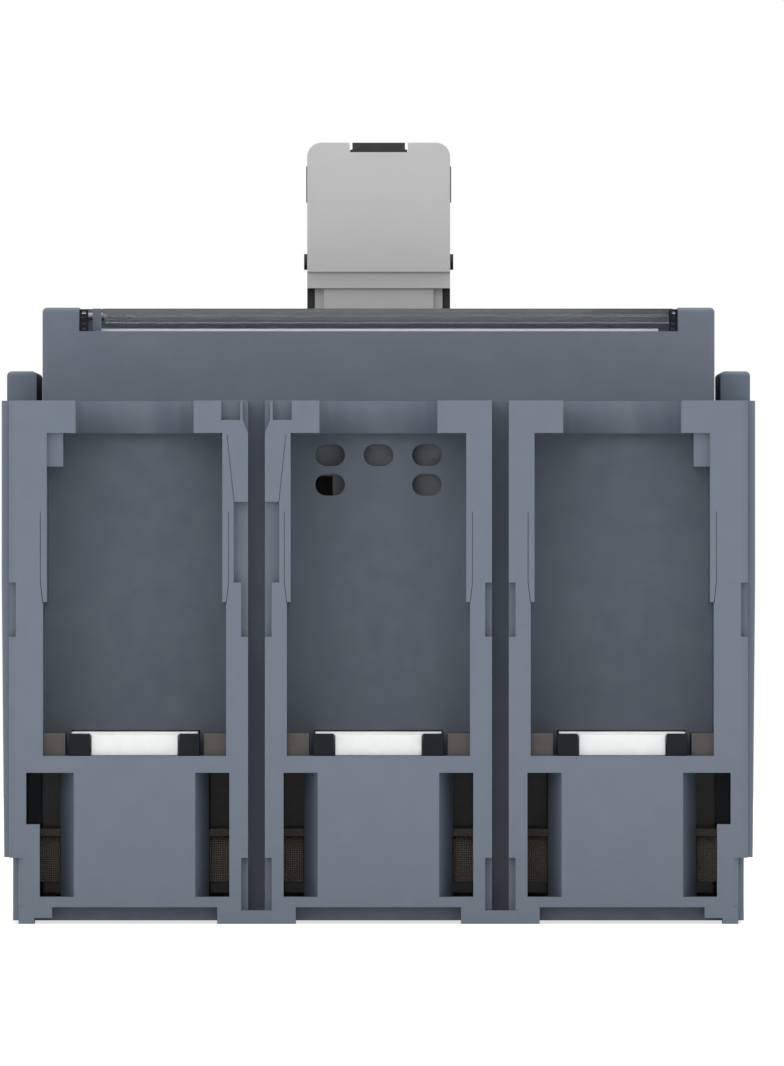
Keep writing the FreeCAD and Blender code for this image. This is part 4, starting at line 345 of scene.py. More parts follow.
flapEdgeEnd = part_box("window_flap")[0].y + clearLook["edgeDepth"]
finishes = {
    "base_plastic": mouldedPlastic("slateBase", (0.126, 0.155, 0.196)),
    "cover_plastic": mouldedPlastic("slateCover", (0.126, 0.155, 0.196)),
    # The front cover's slate is a little darker than the cover's: painted shade for its face, set back
    # behind the cover's end
    "front_plastic": mouldedPlastic("slateFrontShaded", (0.125, 0.150, 0.189)),
    "label_sheet": mouldedPlastic("dialSheet", (0.89, 0.93, 0.99), grain=0.1),
    # The flap keeps its own clear colour, with painted shade on its front edge
    "clear_plastic": clearPlastic("clearFlapShadedEdge", (0.90, 0.89, 0.90), (0.062, 0.065, 0.074), clearness=0.94,
                                  edgeEnd=flapEdgeEnd),
    "light_plastic": mouldedPlastic("lightGreyHandle", (0.58, 0.58, 0.57)),
    "black_plastic": mouldedPlastic("blackHandleCore", (0.012, 0.012, 0.013)),
    "screw_steel": platedMetal("zincScrew", (0.55, 0.55, 0.56)),
    "frame_steel": platedMetal("zincFrame", (0.52, 0.53, 0.55)),
    "pin_steel": platedMetal("blackenedPin", (0.17, 0.17, 0.175), stretch=(0.06, 1.0, 1.0)),
    "spring_steel": platedMetal("springWire", (0.42, 0.42, 0.43)),
    "rotor_plastic": mouldedPlastic("brownRotor", (0.09, 0.065, 0.045)),
    "contact_copper": platedMetal("rolledCopper", (0.80, 0.40, 0.24)),
    "tinned_copper": platedMetal("tinnedBar", (0.80, 0.81, 0.81), stretch=(1.0, 1.0, 1.0), roughLow=0.45,
                                 roughHigh=0.65, metallic=0.35),
    "nut_steel": platedMetal("plainNut", (0.58, 0.57, 0.52)),
    "chute_steel": platedMetal("chutePlates", (0.40, 0.38, 0.36), roughLow=0.4, roughHigh=0.6),
    "grid_wire": platedMetal("brownedWire", (0.20, 0.175, 0.14), roughLow=0.5, roughHigh=0.7, metallic=0.4),
    "grid_mesh": wovenFibre("exhaustWeave", (0.085, 0.075, 0.062), pitch=1.1 * mm),
    "winding_resin": castResin("windingResin", (0.035, 0.035, 0.038)),
    "unit_plastic": mouldedPlastic("darkUnit", (0.170, 0.178, 0.195)),
    "circuit_board": solderMask("greenBoard", (0.02, 0.11, 0.05), trace=(0.35, 0.22, 0.08)),
    "dial_plastic": mouldedPlastic("whiteDial", (0.70, 0.71, 0.72), grain=0.15),
    "button_plastic": mouldedPlastic("redButton", (0.52, 0.025, 0.018), grain=0.15),
    "retainer_plastic": mouldedPlastic("darkRetainer", (0.05, 0.052, 0.056)),
    "keeper_plastic": mouldedPlastic("darkKeeper", (0.007, 0.009, 0.012), **{"Specular IOR Level": 0.15}),
    "spacer_fibre": mouldedPlastic("brownSpacer", (0.062, 0.058, 0.055)),
    "print_ink": mouldedPlastic("darkInk", (0.03, 0.035, 0.045), grain=0.05),
    "white_ink": mouldedPlastic("whiteInk", (0.74, 0.75, 0.76), grain=0.05),
}
for nodeName, nodeObject in nodes.items():
    nodeObject.data.materials.clear()
    nodeObject.data.materials.append(finishes[finishOfNode[nodeName]])
print("finishes:", len(finishes))


# Moulded pieces get small rounded edges, as copies that stand for their CAD nodes.
# An edge is left sharp where a face beside it is too narrow for the rounding.

edgeLook = {
    "segments": 2,
    "sharpAngle": math.radians(32),
    "flatAngle": math.radians(0.4),
    "weldReach": 0.002 * mm,
    "leastFace": 2.4,
}


# About the width of a long narrow face, and half the side of a square one
def faceThickness(face):
    return 2 * face.calc_area() / face.calc_perimeter()


def roundedCopy(nodeName, width):
    source = nodes[nodeName]
    shape = bmesh.new()
    shape.from_mesh(source.data)
    bmesh.ops.remove_doubles(shape, verts=shape.verts, dist=edgeLook["weldReach"])
    bmesh.ops.dissolve_limit(shape, angle_limit=edgeLook["flatAngle"], verts=shape.verts, edges=shape.edges)
    weights = shape.edges.layers.float.new("bevel_weight_edge")
    leastFace = edgeLook["leastFace"] * width
    for edge in shape.edges:
        isSharp = len(edge.link_faces) != 2 or edge.calc_face_angle() > edgeLook["sharpAngle"]
        isWide = min((faceThickness(face) for face in edge.link_faces), default=0) > leastFace
        if isSharp and isWide:
            edge[weights] = 1.0
        edge.smooth = isWide or not isSharp
    mesh = bpy.data.meshes.new(nodeName + "_rounded")
    shape.to_mesh(mesh)
    shape.free()
    mesh.materials.append(finishes[finishOfNode[nodeName]])
    rough = bpy.data.objects.new(nodeName + "_rounding", mesh)
    bpy.context.scene.collection.objects.link(rough)
    bevel = rough.modifiers.new("edges", "BEVEL")
    bevel.limit_method = "WEIGHT"
    bevel.width = width
    bevel.segments = edgeLook["segments"]
    bevel.harden_normals = True
    standFor(bakedPiece(nodeName + "_moulding", rough), nodeName)


# A plain mesh from an object with its modifiers applied
def bakedPiece(name, rough):
    seen = rough.evaluated_get(bpy.context.evaluated_depsgraph_get())
    mesh = bpy.data.meshes.new_from_object(seen)
    bpy.data.objects.remove(rough)
    piece = bpy.data.objects.new(name, mesh)
    bpy.context.scene.collection.objects.link(piece)
    return piece


# A finished piece moves with its CAD node's body and takes that node's place
def standFor(piece, nodeName):
    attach(piece, bodyOfNode[nodeName])
    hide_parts(nodeName)


roundedNodes = {
    "base_housing": 0.30 * mm,
    "main_cover": 0.30 * mm,
    "front_cover": 0.30 * mm,
    "handle_shell_near": 0.35 * mm,
    "handle_shell_far": 0.35 * mm,
    "handle_core": 0.15 * mm,
    "window_flap": 0.12 * mm,
    "trip_button": 0.10 * mm,
    "trip_unit_housing": 0.25 * mm,
    "label_plate": 0.08 * mm,
    "overload_dial": 0.12 * mm,
    "delay_dial": 0.12 * mm,
    "fault_dial": 0.12 * mm,
    "terminal_nuts": 0.25 * mm,
    "load_terminal_keepers": 0.15 * mm,
    "line_terminal_keepers": 0.15 * mm,
    "flap_seal_eyelets": 0.05 * mm,
}
for end in ("load", "line"):
    for pole in ("left", "middle", "right"):
        roundedNodes[f"{end}_terminal_{pole}"] = 0.20 * mm
for nodeName, width in roundedNodes.items():
    roundedCopy(nodeName, width)
print("rounded pieces:", len(roundedNodes))


# Helpers for Geometry Nodes trees: what repeats is made by one tree for each kind.
# A value given to add, feed, maths or vector is either an output to link or a plain value.

class Tree:
    def __init__(self, name, inputs):
        self.group = bpy.data.node_groups.new(name, "GeometryNodeTree")
        self.group.interface.new_socket("Geometry", in_out="INPUT", socket_type="NodeSocketGeometry")
        self.group.interface.new_socket("Geometry", in_out="OUTPUT", socket_type="NodeSocketGeometry")
        for label, (kind, value) in inputs.items():
            socket = self.group.interface.new_socket(label, in_out="INPUT", socket_type="NodeSocket" + kind)
            socket.default_value = value
        self.given = self.group.nodes.new("NodeGroupInput")
        self.result = self.group.nodes.new("NodeGroupOutput")

    def input(self, label):
        return self.given.outputs[label]

    def add(self, kind, links=None, **settings):
        node = self.group.nodes.new("GeometryNode" + kind)
        for name, value in settings.items():
            setattr(node, name, value)
        self.feed(node, links)
        return node

    def feed(self, node, links):
        for label, value in (links or {}).items():
            if hasattr(value, "is_output"):
                self.group.links.new(value, node.inputs[label])
            else:
                node.inputs[label].default_value = value

    def maths(self, operation, first, second=0.0):
        node = self.group.nodes.new("ShaderNodeMath")
        node.operation = operation
        self.feed(node, {0: first, 1: second})
        return node.outputs[0]

    def vector(self, x=0.0, y=0.0, z=0.0):
        node = self.group.nodes.new("ShaderNodeCombineXYZ")
        self.feed(node, {"X": x, "Y": y, "Z": z})
        return node.outputs[0]

    def join(self, parts):
        node = self.group.nodes.new("GeometryNodeJoinGeometry")
        for part in parts:
            self.group.links.new(part, node.inputs[0])
        return node.outputs[0]

    def end(self, geometry, finishName):
        real = self.add("RealizeInstances", {"Geometry": geometry})
        coat = self.add("SetMaterial", {"Geometry": real.outputs[0]})
        coat.inputs["Material"].default_value = finishes[finishName]
        self.group.links.new(coat.outputs[0], self.result.inputs[0])


# A plain mesh from a tree, fed with the points where its pieces stand
def grownPiece(name, tree, points, values=()):
    mesh = bpy.data.meshes.new(name + "_points")
    mesh.from_pydata([tuple(point) for point in points], [], [])
    rough = bpy.data.objects.new(name + "_growing", mesh)
    bpy.context.scene.collection.objects.link(rough)
    modifier = rough.modifiers.new("nodes", "NODES")
    modifier.node_group = tree.group
    for item in tree.group.interface.items_tree:
        if item.in_out == "INPUT" and item.name in values:
            modifier[item.identifier] = values[item.name]
    return bakedPiece(name, rough)


# Screws: a threaded shank and a head with a cross recess, turned by a fixed random angle.
# The cross is given in shares of the head's radius, the recess in shares of its depth.

screwLook = {
    "threadPitch": 1.0 * mm,
    "threadDepth": 0.24 * mm,
    "threadStart": 0.6 * mm,
    "plainShank": 1.5 * mm,
    "stepsPerPitch": 4,
    "tipShare": 0.45,
    "crossLength": 0.62,
    "crossWidth": 0.17,
    "crossRound": 0.05 * mm,
    "recessDepth": 1.3 * mm,
    "deepestShare": 0.6,
    "floorMiddle": (0.35, 1.15),
    "floorReach": 0.72,
    "headRound": 0.12 * mm,
    "turnSeed": 7,
    "around": 40,
}
screwKinds = {
    "cover_screws": {
        "headRadius": 3.2 * mm, "headHeight": 2.6 * mm, "shankRadius": 1.75 * mm, "sunkHead": True},
    "front_cover_screws": {
        "headRadius": 2.9 * mm, "headHeight": 1.8 * mm, "shankRadius": 1.5 * mm, "sunkHead": False},
}


# How far the cross reaches from its middle in one direction
def crossReach(angle, length, width):
    almostNone = 1e-6
    along = max(abs(math.cos(angle)), almostNone)
    across = max(abs(math.sin(angle)), almostNone)
    first = min(length / along, width / across)
    second = min(width / along, length / across)
    return max(first, second)


# Rings run from the recess floor outwards over the head and down the shank; the top is at z = 0
def screwMesh(name, headRadius, headHeight, sunkHead, shankRadius, length):
    look = screwLook
    around = look["around"]
    depth = min(look["recessDepth"], headHeight * look["deepestShare"])
    middleShare, middleDepth = look["floorMiddle"]
    edge = look["headRound"]
    lift = look["threadPitch"] / look["stepsPerPitch"]

    def cross(turn):
        return crossReach(turn, look["crossLength"] * headRadius, look["crossWidth"] * headRadius)

    rings = [
        lambda turn: (cross(turn) * middleShare, -depth * middleDepth),
        lambda turn: (cross(turn) * look["floorReach"], -depth),
        lambda turn: (cross(turn), -look["crossRound"]),
        lambda turn: (cross(turn) + look["crossRound"], 0.0),
        lambda turn: (headRadius - edge, 0.0),
        lambda turn: (headRadius, -edge),
    ]
    if not sunkHead:
        rings.append(lambda turn: (headRadius, -headHeight))
    rings.append(lambda turn: (shankRadius, -headHeight))
    for step in range(int((length - headHeight - look["plainShank"]) / lift)):
        def thread(turn, step=step):
            z = -headHeight - look["threadStart"] - step * lift
            phase = (z / look["threadPitch"] - turn / (2 * math.pi)) % 1.0
            return shankRadius - look["threadDepth"] * abs(2 * phase - 1), z
        rings.append(thread)
    rings.append(lambda turn: (shankRadius * look["tipShare"], -length))
    shape = bmesh.new()
    turns = [2 * math.pi * number / around for number in range(around)]
    rows = []
    for ring in rings:
        row = []
        for turn in turns:
            radius, z = ring(turn)
            row.append(shape.verts.new((radius * math.cos(turn), radius * math.sin(turn), z)))
        rows.append(row)
    for inner, outer in zip(rows, rows[1:]):
        for number in range(around):
            after = (number + 1) % around
            shape.faces.new((inner[number], outer[number], outer[after], inner[after]))
    shape.faces.new(rows[0])
    shape.faces.new(list(reversed(rows[-1])))
    bmesh.ops.recalc_face_normals(shape, faces=shape.faces)
    mesh = bpy.data.meshes.new(name)
    shape.to_mesh(mesh)
    shape.free()
    return mesh


# The pattern on every point, each turned about its own axis
def screwTree(name, pattern):
    tree = Tree(name, {"Seed": ("Int", screwLook["turnSeed"])})
    shape = tree.add("ObjectInfo", {"Object": pattern})
    turn = tree.group.nodes.new("FunctionNodeRandomValue")
    turn.data_type = "FLOAT"
    tree.feed(turn, {"Seed": tree.input("Seed")})
    turn.inputs[3].default_value = 2 * math.pi
    points = tree.add("MeshToPoints", {"Mesh": tree.input("Geometry")})
    placed = tree.add("InstanceOnPoints", {
        "Points": points.outputs[0], "Instance": shape.outputs["Geometry"],
        "Rotation": tree.vector(z=turn.outputs[1])})
    tree.end(placed.outputs[0], "screw_steel")
    return tree


# Four screws, one at each corner of the node's box
def screwSet(nodeName, headRadius, **sizes):
    low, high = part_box(nodeName)
    mesh = screwMesh(nodeName + "_shape", headRadius, length=high.z - low.z, **sizes)
    pattern = bpy.data.objects.new(nodeName + "_pattern", mesh)
    ys = (low.y + headRadius, high.y - headRadius)
    places = [(side * (high.x - headRadius), y, high.z) for side in (-1, 1) for y in ys]
    piece = grownPiece(nodeName + "_threaded", screwTree(nodeName + "_tree", pattern), places)
    bpy.data.objects.remove(pattern)
    standFor(piece, nodeName)


for nodeName, sizes in screwKinds.items():
    screwSet(nodeName, **sizes)
print("screws made")


# Springs: open coils with an eye above and a long loop below, or a plain compression coil.
# The loop's far half is drawn out by the way that the toggle pin travels inside it.

springLook = {
    "wire": 0.8 * mm,
    "mainTurns": 13.0,
    "mainRadius": 3.0 * mm,
    "eyeRadius": 2.0 * mm,
    "loopPlay": 0.8 * mm,
    "pinHighest": Vector((0, 4.24 * mm, 6.35 * mm)),
    "pinLowest": Vector((0, 0, -1.6 * mm)),
    "endGap": 1.1 * mm,
    "yokeThickness": 1.5 * mm,
    "buttonTurns": 4.5,
    "buttonWire": 0.64 * mm,
    "aroundWire": 10,
    "aroundEye": 32,
    "stepsPerTurn": 24,
}


# Coil, eye and loop on every point, leaning about the X axis
def coilTree(name):
    nowhere = (0.0, 0.0, 0.0)
    inputs = {label: ("Float", 0.0) for label in (
        "Turns", "Coil Radius", "Wire Radius", "Height", "Start", "Eye Radius", "Loop Radius", "Lean")}
    tree = Tree(name, {**inputs, "Loop Place": ("Vector", nowhere), "Loop Reach": ("Vector", nowhere)})
    wire = tree.add("CurvePrimitiveCircle", {"Resolution": springLook["aroundWire"],
                                             "Radius": tree.input("Wire Radius")})
    helix = tree.add("CurveSpiral", {
        "Resolution": springLook["stepsPerTurn"], "Rotations": tree.input("Turns"),
        "Start Radius": tree.input("Coil Radius"), "End Radius": tree.input("Coil Radius"),
        "Height": tree.input("Height")})
    coil = tree.add("CurveToMesh", {"Curve": helix.outputs[0], "Profile Curve": wire.outputs[0],
                                    "Fill Caps": True})
    lifted = tree.add("Transform", {"Geometry": coil.outputs[0],
                                    "Translation": tree.vector(z=tree.input("Start"))})
    parts = [lifted.outputs[0]]
    top = tree.maths("ADD", tree.input("Start"), tree.input("Height"))
    above = tree.vector(z=tree.maths("ADD", top, tree.input("Eye Radius")))
    hasEyes = tree.maths("GREATER_THAN", tree.input("Eye Radius"), 0.0)
    for radius, reach, place in (("Eye Radius", nowhere, above),
                                 ("Loop Radius", tree.input("Loop Reach"), tree.input("Loop Place"))):
        ring = tree.add("CurvePrimitiveCircle", {"Resolution": springLook["aroundEye"],
                                                 "Radius": tree.input(radius)})
        upright = tree.add("Transform", {"Geometry": ring.outputs[0],
                                         "Rotation": (math.pi / 2, 0.0, math.pi / 2)})
        towards = tree.group.nodes.new("ShaderNodeVectorMath")
        towards.operation = "DOT_PRODUCT"
        tree.feed(towards, {0: tree.add("InputPosition").outputs[0], 1: reach})
        farHalf = tree.maths("GREATER_THAN", towards.outputs["Value"], 0.0)
        drawn = tree.add("SetPosition", {"Geometry": upright.outputs[0],
                                         "Selection": farHalf, "Offset": reach})
        eye = tree.add("CurveToMesh", {"Curve": drawn.outputs[0], "Profile Curve": wire.outputs[0]})
        moved = tree.add("Transform", {"Geometry": eye.outputs[0], "Translation": place})
        shown = tree.add("Switch", {"Switch": hasEyes, "True": moved.outputs[0]}, input_type="GEOMETRY")
        parts.append(shown.outputs[0])
    points = tree.add("MeshToPoints", {"Mesh": tree.input("Geometry")})
    placed = tree.add("InstanceOnPoints", {
        "Points": points.outputs[0], "Instance": tree.join(parts),
        "Rotation": tree.vector(x=tree.input("Lean"))})
    tree.end(placed.outputs[0], "spring_steel")
    return tree


# Each main spring runs from the toggle pin up to the handle's yoke
def mainSprings():
    toggleLow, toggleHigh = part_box("toggle_pin")
    yokeLow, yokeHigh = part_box("handle_yoke")
    pin = (toggleLow + toggleHigh) / 2
    pin.x = 0
    foot = Vector((0, pin.y, toggleHigh.z))
    head = Vector((0, (yokeLow.y + yokeHigh.y) / 2, yokeHigh.z - springLook["yokeThickness"]))
    reach = head - foot
    lean = -math.atan2(reach.y, reach.z)
    turnBack = Matrix.Rotation(-lean, 3, "X")
    half = springLook["wire"] / 2
    loopRadius = toggleHigh.z - pin.z + springLook["loopPlay"] + half
    loopPlace = turnBack @ (pin + springLook["pinLowest"] - foot)
    loopReach = turnBack @ (springLook["pinHighest"] - springLook["pinLowest"])
    start = (loopPlace + loopReach).z + loopRadius
    height = reach.length - springLook["endGap"] - half - 2 * springLook["eyeRadius"] - start
    values = {"Turns": springLook["mainTurns"], "Coil Radius": springLook["mainRadius"] - half,
              "Wire Radius": half, "Height": height, "Start": start,
              "Eye Radius": springLook["eyeRadius"], "Loop Radius": loopRadius,
              "Loop Place": tuple(loopPlace), "Loop Reach": tuple(loopReach), "Lean": lean}
    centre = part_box("main_springs")[1].x - springLook["mainRadius"]
    places = [(side * centre, foot.y, foot.z) for side in (-1, 1)]
    standFor(grownPiece("main_springs_coiled", coilTree("springCoils"), places, values), "main_springs")


# A plain coil standing on the button spring's foot, on a mesh of its own
def buttonSpring():
    low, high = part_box("trip_button_spring")
    room = springLook["wire"] / 2
    values = {"Turns": springLook["buttonTurns"], "Coil Radius": (high.x - low.x) / 2 - room,
              "Wire Radius": springLook["buttonWire"] / 2,
              "Height": high.z - low.z - 2 * room, "Start": room}
    places = [((low.x + high.x) / 2, (low.y + high.y) / 2, low.z)]
    piece = grownPiece("trip_button_coil", coilTree("buttonCoil"), places, values)
    standFor(piece, "trip_button_spring")
    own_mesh(piece)


mainSprings()
buttonSpring()
print("springs made")


# Woven wire in front of each exhaust plate

weaveLook = {
    "pitch": 0.42 * mm,
    "wireRadius": 0.12 * mm,
    "waveDepth": 0.10 * mm,
    "acrossCount": 9,
    "acrossSteps": 17,
    "upCount": 20,
    "upSteps": 39,
    "aroundWire": 5,
    "plateFace": 1.4 * mm,
    "standOff": 0.26 * mm,
    "slotNear": 13.7 * mm,
    "sideGap": 0.3 * mm,
    "footGap": 0.2 * mm,
    "polePitch": 45.0 * mm,
}


# Wires across and wires up, bent over and under each other by one wave of opposite sign
def weaveTree():
    tree = Tree("wovenWires", {
        "Pitch": ("Float", weaveLook["pitch"]), "Wire Radius": ("Float", weaveLook["wireRadius"]),
        "Wave Depth": ("Float", weaveLook["waveDepth"]), "Across Count": ("Int", weaveLook["acrossCount"]),
        "Up Count": ("Int", weaveLook["upCount"])})
    pitch = tree.input("Pitch")
    wire = tree.add("CurvePrimitiveCircle", {"Resolution": weaveLook["aroundWire"],
                                             "Radius": tree.input("Wire Radius")})
    split = tree.group.nodes.new("ShaderNodeSeparateXYZ")
    tree.feed(split, {0: tree.add("InputPosition").outputs[0]})
    waves = []
    for axis in ("X", "Z"):
        turns = tree.maths("DIVIDE", split.outputs[axis], pitch)
        waves.append(tree.maths("COSINE", tree.maths("MULTIPLY", turns, math.pi)))
    wave = tree.maths("MULTIPLY", tree.maths("MULTIPLY", waves[0], waves[1]), tree.input("Wave Depth"))
    acrossSpan = tree.maths("MULTIPLY", tree.maths("SUBTRACT", tree.input("Across Count"), 1.0), pitch)
    upSpan = tree.maths("MULTIPLY", tree.maths("SUBTRACT", tree.input("Up Count"), 1.0), pitch)
    parts = []
    for sign, count, step, reach, fineSteps in (
            (1.0, "Across Count", tree.vector(x=pitch), tree.vector(z=upSpan), weaveLook["upSteps"]),
            (-1.0, "Up Count", tree.vector(z=pitch), tree.vector(x=acrossSpan), weaveLook["acrossSteps"])):
        row = tree.add("MeshLine", {"Count": tree.input(count), "Offset": step})
        line = tree.add("CurvePrimitiveLine", {"End": reach})
        rows = tree.add("InstanceOnPoints", {"Points": row.outputs[0], "Instance": line.outputs[0]})
        real = tree.add("RealizeInstances", {"Geometry": rows.outputs[0]})
        fine = tree.add("ResampleCurve", {"Curve": real.outputs[0], "Count": fineSteps})
        bent = tree.add("SetPosition", {"Geometry": fine.outputs[0],
                                        "Offset": tree.vector(y=tree.maths("MULTIPLY", wave, sign))})
        tube = tree.add("CurveToMesh", {"Curve": bent.outputs[0], "Profile Curve": wire.outputs[0],
                                        "Fill Caps": True})
        parts.append(tube.outputs[0])
    points = tree.add("MeshToPoints", {"Mesh": tree.input("Geometry")})
    placed = tree.add("InstanceOnPoints", {"Points": points.outputs[0], "Instance": tree.join(parts)})
    tree.end(placed.outputs[0], "grid_wire")
    return tree


# Two panels of wire for each pole, one in each slot
def exhaustWeaves():
    tree = weaveTree()
    reach = weaveLook["slotNear"] + weaveLook["sideGap"]
    width = (weaveLook["acrossCount"] - 1) * weaveLook["pitch"]
    for end, side in (("load", -1), ("line", 1)):
        low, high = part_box(f"{end}_exhaust_grids")
        inner = high.y if side < 0 else low.y
        y = inner + side * (weaveLook["plateFace"] + weaveLook["standOff"])
        z = low.z + weaveLook["footGap"]
        places = []
        for pole in (-1, 0, 1):
            centre = pole * weaveLook["polePitch"]
            places.append((centre + reach, y, z))
            places.append((centre - reach - width, y, z))
        piece = grownPiece(f"{end}_exhaust_wires", tree, places)
        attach(piece, bodyOfNode[f"{end}_exhaust_grids"])


exhaustWeaves()
print("exhaust wires woven")


# Printed dial scales with plain numbers

scaleLook = {
    "ticks": 9,
    "sweep": math.radians(240),
    "innerRadius": 6.1 * mm,
    "tickLength": 1.4 * mm,
    "tickWidth": 0.4 * mm,
    "inkHeight": 0.03 * mm,
    "numberRadius": 9.2 * mm,
    "numberSize": 2.4 * mm,
    "curveSteps": 4,
}


# Tick marks in an arc about every point
def scaleTree():
    tree = Tree("dialTicks", {
        "Ticks": ("Int", scaleLook["ticks"]), "Sweep": ("Float", scaleLook["sweep"]),
        "Inner Radius": ("Float", scaleLook["innerRadius"]),
        "Tick Length": ("Float", scaleLook["tickLength"]),
        "Tick Width": ("Float", scaleLook["tickWidth"]), "Ink Height": ("Float", scaleLook["inkHeight"])})
    tick = tree.add("MeshCube", {"Size": tree.vector(
        tree.input("Tick Width"), tree.input("Tick Length"), tree.input("Ink Height"))})
    halfLength = tree.maths("MULTIPLY", tree.input("Tick Length"), 0.5)
    radius = tree.maths("ADD", tree.input("Inner Radius"), halfLength)
    out = tree.add("Transform", {"Geometry": tick.outputs[0], "Translation": tree.vector(y=radius)})
    row = tree.add("MeshLine", {"Count": tree.input("Ticks"), "Offset": (0.0, 0.0, 0.0)})
    index = tree.add("InputIndex")
    share = tree.maths("DIVIDE", index.outputs[0], tree.maths("SUBTRACT", tree.input("Ticks"), 1.0))
    turn = tree.maths("MULTIPLY", tree.maths("SUBTRACT", 0.5, share), tree.input("Sweep"))
    ring = tree.add("InstanceOnPoints", {"Points": row.outputs[0], "Instance": out.outputs[0],
                                         "Rotation": tree.vector(z=turn)})
    points = tree.add("MeshToPoints", {"Mesh": tree.input("Geometry")})
    placed = tree.add("InstanceOnPoints", {"Points": points.outputs[0], "Instance": ring.outputs[0]})
    tree.end(placed.outputs[0], "print_ink")
    return tree


# A printed figure or letter, as high as the ink is thick and centred on its place
def numberMesh(text, size, place):
    curve = bpy.data.curves.new("number", "FONT")
    curve.body = text
    curve.size = size
    curve.align_x = "CENTER"
    curve.align_y = "CENTER"
    curve.extrude = scaleLook["inkHeight"] / 2
    curve.resolution_u = scaleLook["curveSteps"]
    rough = bpy.data.objects.new("number", curve)
    bpy.context.scene.collection.objects.link(rough)
    piece = bakedPiece("number", rough)
    piece.data.transform(Matrix.Translation(place))
    return piece


# One plain mesh in place of several
def joinPieces(name, pieces, finishName):
    shape = bmesh.new()
    for piece in pieces:
        shape.from_mesh(piece.data)
        bpy.data.objects.remove(piece)
    mesh = bpy.data.meshes.new(name)
    shape.to_mesh(mesh)
    shape.free()
    mesh.materials.append(finishes[finishName])
    joined = bpy.data.objects.new(name, mesh)
    bpy.context.scene.collection.objects.link(joined)
    return joined


def dialScales():
    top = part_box("label_plate")[1].z + scaleLook["inkHeight"] / 2
    reach = scaleLook["numberRadius"]
    places = []
    numbers = []
    for dialName in ("overload_dial", "delay_dial", "fault_dial"):
        low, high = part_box(dialName)
        centre = (low + high) / 2
        places.append((centre.x, centre.y, top))
        for tick in range(scaleLook["ticks"]):
            turn = (0.5 - tick / (scaleLook["ticks"] - 1)) * scaleLook["sweep"]
            place = Vector((centre.x - reach * math.sin(turn), centre.y + reach * math.cos(turn), top))
            numbers.append(numberMesh(str(tick + 1), scaleLook["numberSize"], place))
    ticks = grownPiece("dial_ticks", scaleTree(), places)
    piece = joinPieces("dial_scales", [ticks] + numbers, "print_ink")
    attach(piece, bodyOfNode["label_plate"])


dialScales()
print("dial scales printed")


# On and off marks beside the handle slot

markLook = {
    "markSize": 6.0 * mm,
    "onPlace": 46.5 * mm,
    "offPlace": -18.5 * mm,
}


def switchMarks():
    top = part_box("front_cover")[1].z + scaleLook["inkHeight"] / 2
    marks = [numberMesh(text, markLook["markSize"], Vector((0, markLook[place], top)))
             for text, place in (("I", "onPlace"), ("O", "offPlace"))]
    piece = joinPieces("switch_marks", marks, "white_ink")
    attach(piece, bodyOfNode["front_cover"])


switchMarks()


# Stage: pale floor, white backdrop, soft light

stageLook = {
    "floorReach": 3.0,
    "floorTone": 0.65,
    "floorRoughness": 0.9,
    "floorGlow": 0.45,
    "floorFill": 0.22,
    "worldStrength": 0.74,
}
lamps = {
    "frontLamp": {"place": (-0.25, -1.6, 0.55), "aim": (0, 0, 0.06), "size": 1.1, "power": 3.8},
    "topLamp": {"place": (0.15, -0.2, 1.7), "aim": (0, 0, 0.05), "size": 1.2, "power": 11.0},
    "lowPanel": {"place": (0, -0.62, 0.003), "aim": (0, -0.62, 1), "size": 1.4, "power": 1.6, "depth": 0.9},
}

# The photo's frame in pixels, with the body's middle and foot line in it
cameraLook = {
    "frameWidth": 784,
    "frameHeight": 1066,
    "pixelsPerMm": 5.42,
    "middleX": 378.4,
    "baseLineY": 924.0,
    "lens": 1200.0,
    "sensorWidth": 36.0,
    "clipStart": 0.05,
    "clipEnd": 60.0,
}


# Plain white where it is seen, mirrored or looked through, and softer where it lights
def buildWorld():
    world = bpy.data.worlds.new("softWhite")
    bpy.context.scene.world = world
    world.use_nodes = True
    tree = world.node_tree
    tree.nodes.clear()
    path = addNode(tree, "ShaderNodeLightPath")
    seen = path.outputs["Is Camera Ray"]
    for other in ("Is Glossy Ray", "Is Transmission Ray"):
        either = addNode(tree, "ShaderNodeMath", operation="MAXIMUM")
        tree.links.new(seen, either.inputs[0])
        tree.links.new(path.outputs[other], either.inputs[1])
        seen = either.outputs[0]
    plain = (1, 1, 1, 1)
    soft = addNode(tree, "ShaderNodeBackground", {"Color": plain, "Strength": stageLook["worldStrength"]})
    white = addNode(tree, "ShaderNodeBackground", {"Color": plain, "Strength": 1.0})
    mix = addNode(tree, "ShaderNodeMixShader")
    output = addNode(tree, "ShaderNodeOutputWorld")
    tree.links.new(seen, mix.inputs["Fac"])
    tree.links.new(soft.outputs[0], mix.inputs[1])
    tree.links.new(white.outputs[0], mix.inputs[2])
    tree.links.new(mix.outputs[0], output.inputs["Surface"])


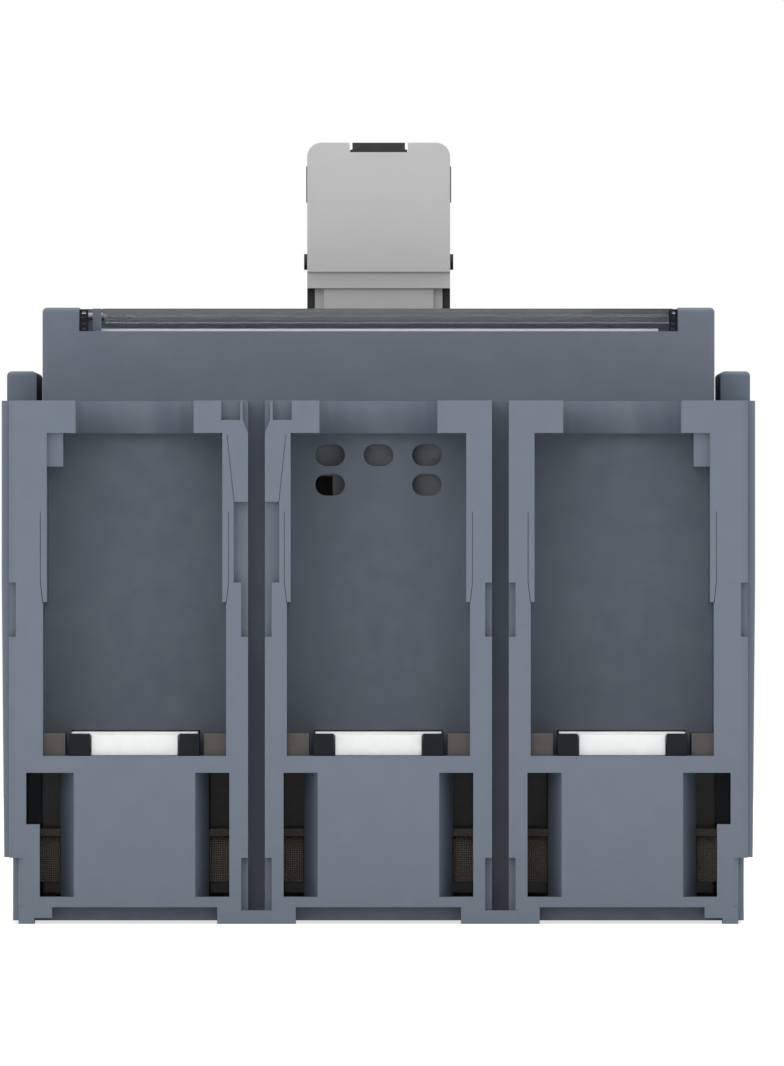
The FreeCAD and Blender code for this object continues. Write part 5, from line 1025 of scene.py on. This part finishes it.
# The floor glows where the camera sees it, so that it meets the backdrop without a line
def buildFloor():
    reach = stageLook["floorReach"]
    tone = stageLook["floorTone"]
    mesh = bpy.data.meshes.new("floor")
    corners = [(-reach, -reach, 0), (reach, -reach, 0), (reach, reach, 0), (-reach, reach, 0)]
    mesh.from_pydata(corners, [], [(0, 1, 2, 3)])
    floor = bpy.data.objects.new("floor", mesh)
    bpy.context.scene.collection.objects.link(floor)
    material = bpy.data.materials.new("paleFloor")
    material.use_nodes = True
    tree = material.node_tree
    shader = tree.nodes["Principled BSDF"]
    shader.inputs["Base Color"].default_value = (tone, tone, tone, 1)
    shader.inputs["Roughness"].default_value = stageLook["floorRoughness"]
    shader.inputs["Specular IOR Level"].default_value = 0.0
    path = addNode(tree, "ShaderNodeLightPath")
    glow = addNode(tree, "ShaderNodeMath", {1: stageLook["floorGlow"]}, operation="MULTIPLY")
    tree.links.new(path.outputs["Is Camera Ray"], glow.inputs[0])
    fill = addNode(tree, "ShaderNodeMath", {1: stageLook["floorFill"]}, operation="ADD")
    tree.links.new(glow.outputs[0], fill.inputs[0])
    shader.inputs["Emission Color"].default_value = (1, 1, 1, 1)
    tree.links.new(fill.outputs[0], shader.inputs["Emission Strength"])
    mesh.materials.append(material)


# A lamp with a depth is a rectangle, any other a disc
def addLamp(name, place, aim, size, power, depth=None):
    lamp = bpy.data.lights.new(name, "AREA")
    lamp.shape = "RECTANGLE" if depth else "DISK"
    lamp.size = size
    if depth:
        lamp.size_y = depth
    lamp.energy = power
    holder = bpy.data.objects.new(name, lamp)
    holder.location = place
    holder.rotation_euler = (Vector(aim) - Vector(place)).to_track_quat("-Z", "Y").to_euler()
    bpy.context.scene.collection.objects.link(holder)
    holder.visible_camera = False


# A very long lens far before the load end, aimed straight at it, so that the photo's frame is filled
def buildCamera():
    look = cameraLook
    pixel = mm / look["pixelsPerMm"]
    distance = look["frameHeight"] * pixel * look["lens"] / look["sensorWidth"]
    camera = bpy.data.cameras.new("camera")
    camera.lens = look["lens"]
    camera.sensor_width = look["sensorWidth"]
    camera.clip_start = look["clipStart"]
    camera.clip_end = look["clipEnd"]
    holder = bpy.data.objects.new("camera", camera)
    sideways = (look["frameWidth"] / 2 - look["middleX"]) * pixel
    upwards = (look["baseLineY"] - look["frameHeight"] / 2) * pixel
    holder.location = (sideways, cadLow.y - distance, upwards)
    holder.rotation_euler = (math.pi / 2, 0, 0)
    bpy.context.scene.collection.objects.link(holder)
    bpy.context.scene.camera = holder


bpy.context.scene.view_settings.view_transform = "Standard"
buildCamera()
buildWorld()
buildFloor()
for lampName, lampSizes in lamps.items():
    addLamp(lampName, **lampSizes)
print("stage ready")
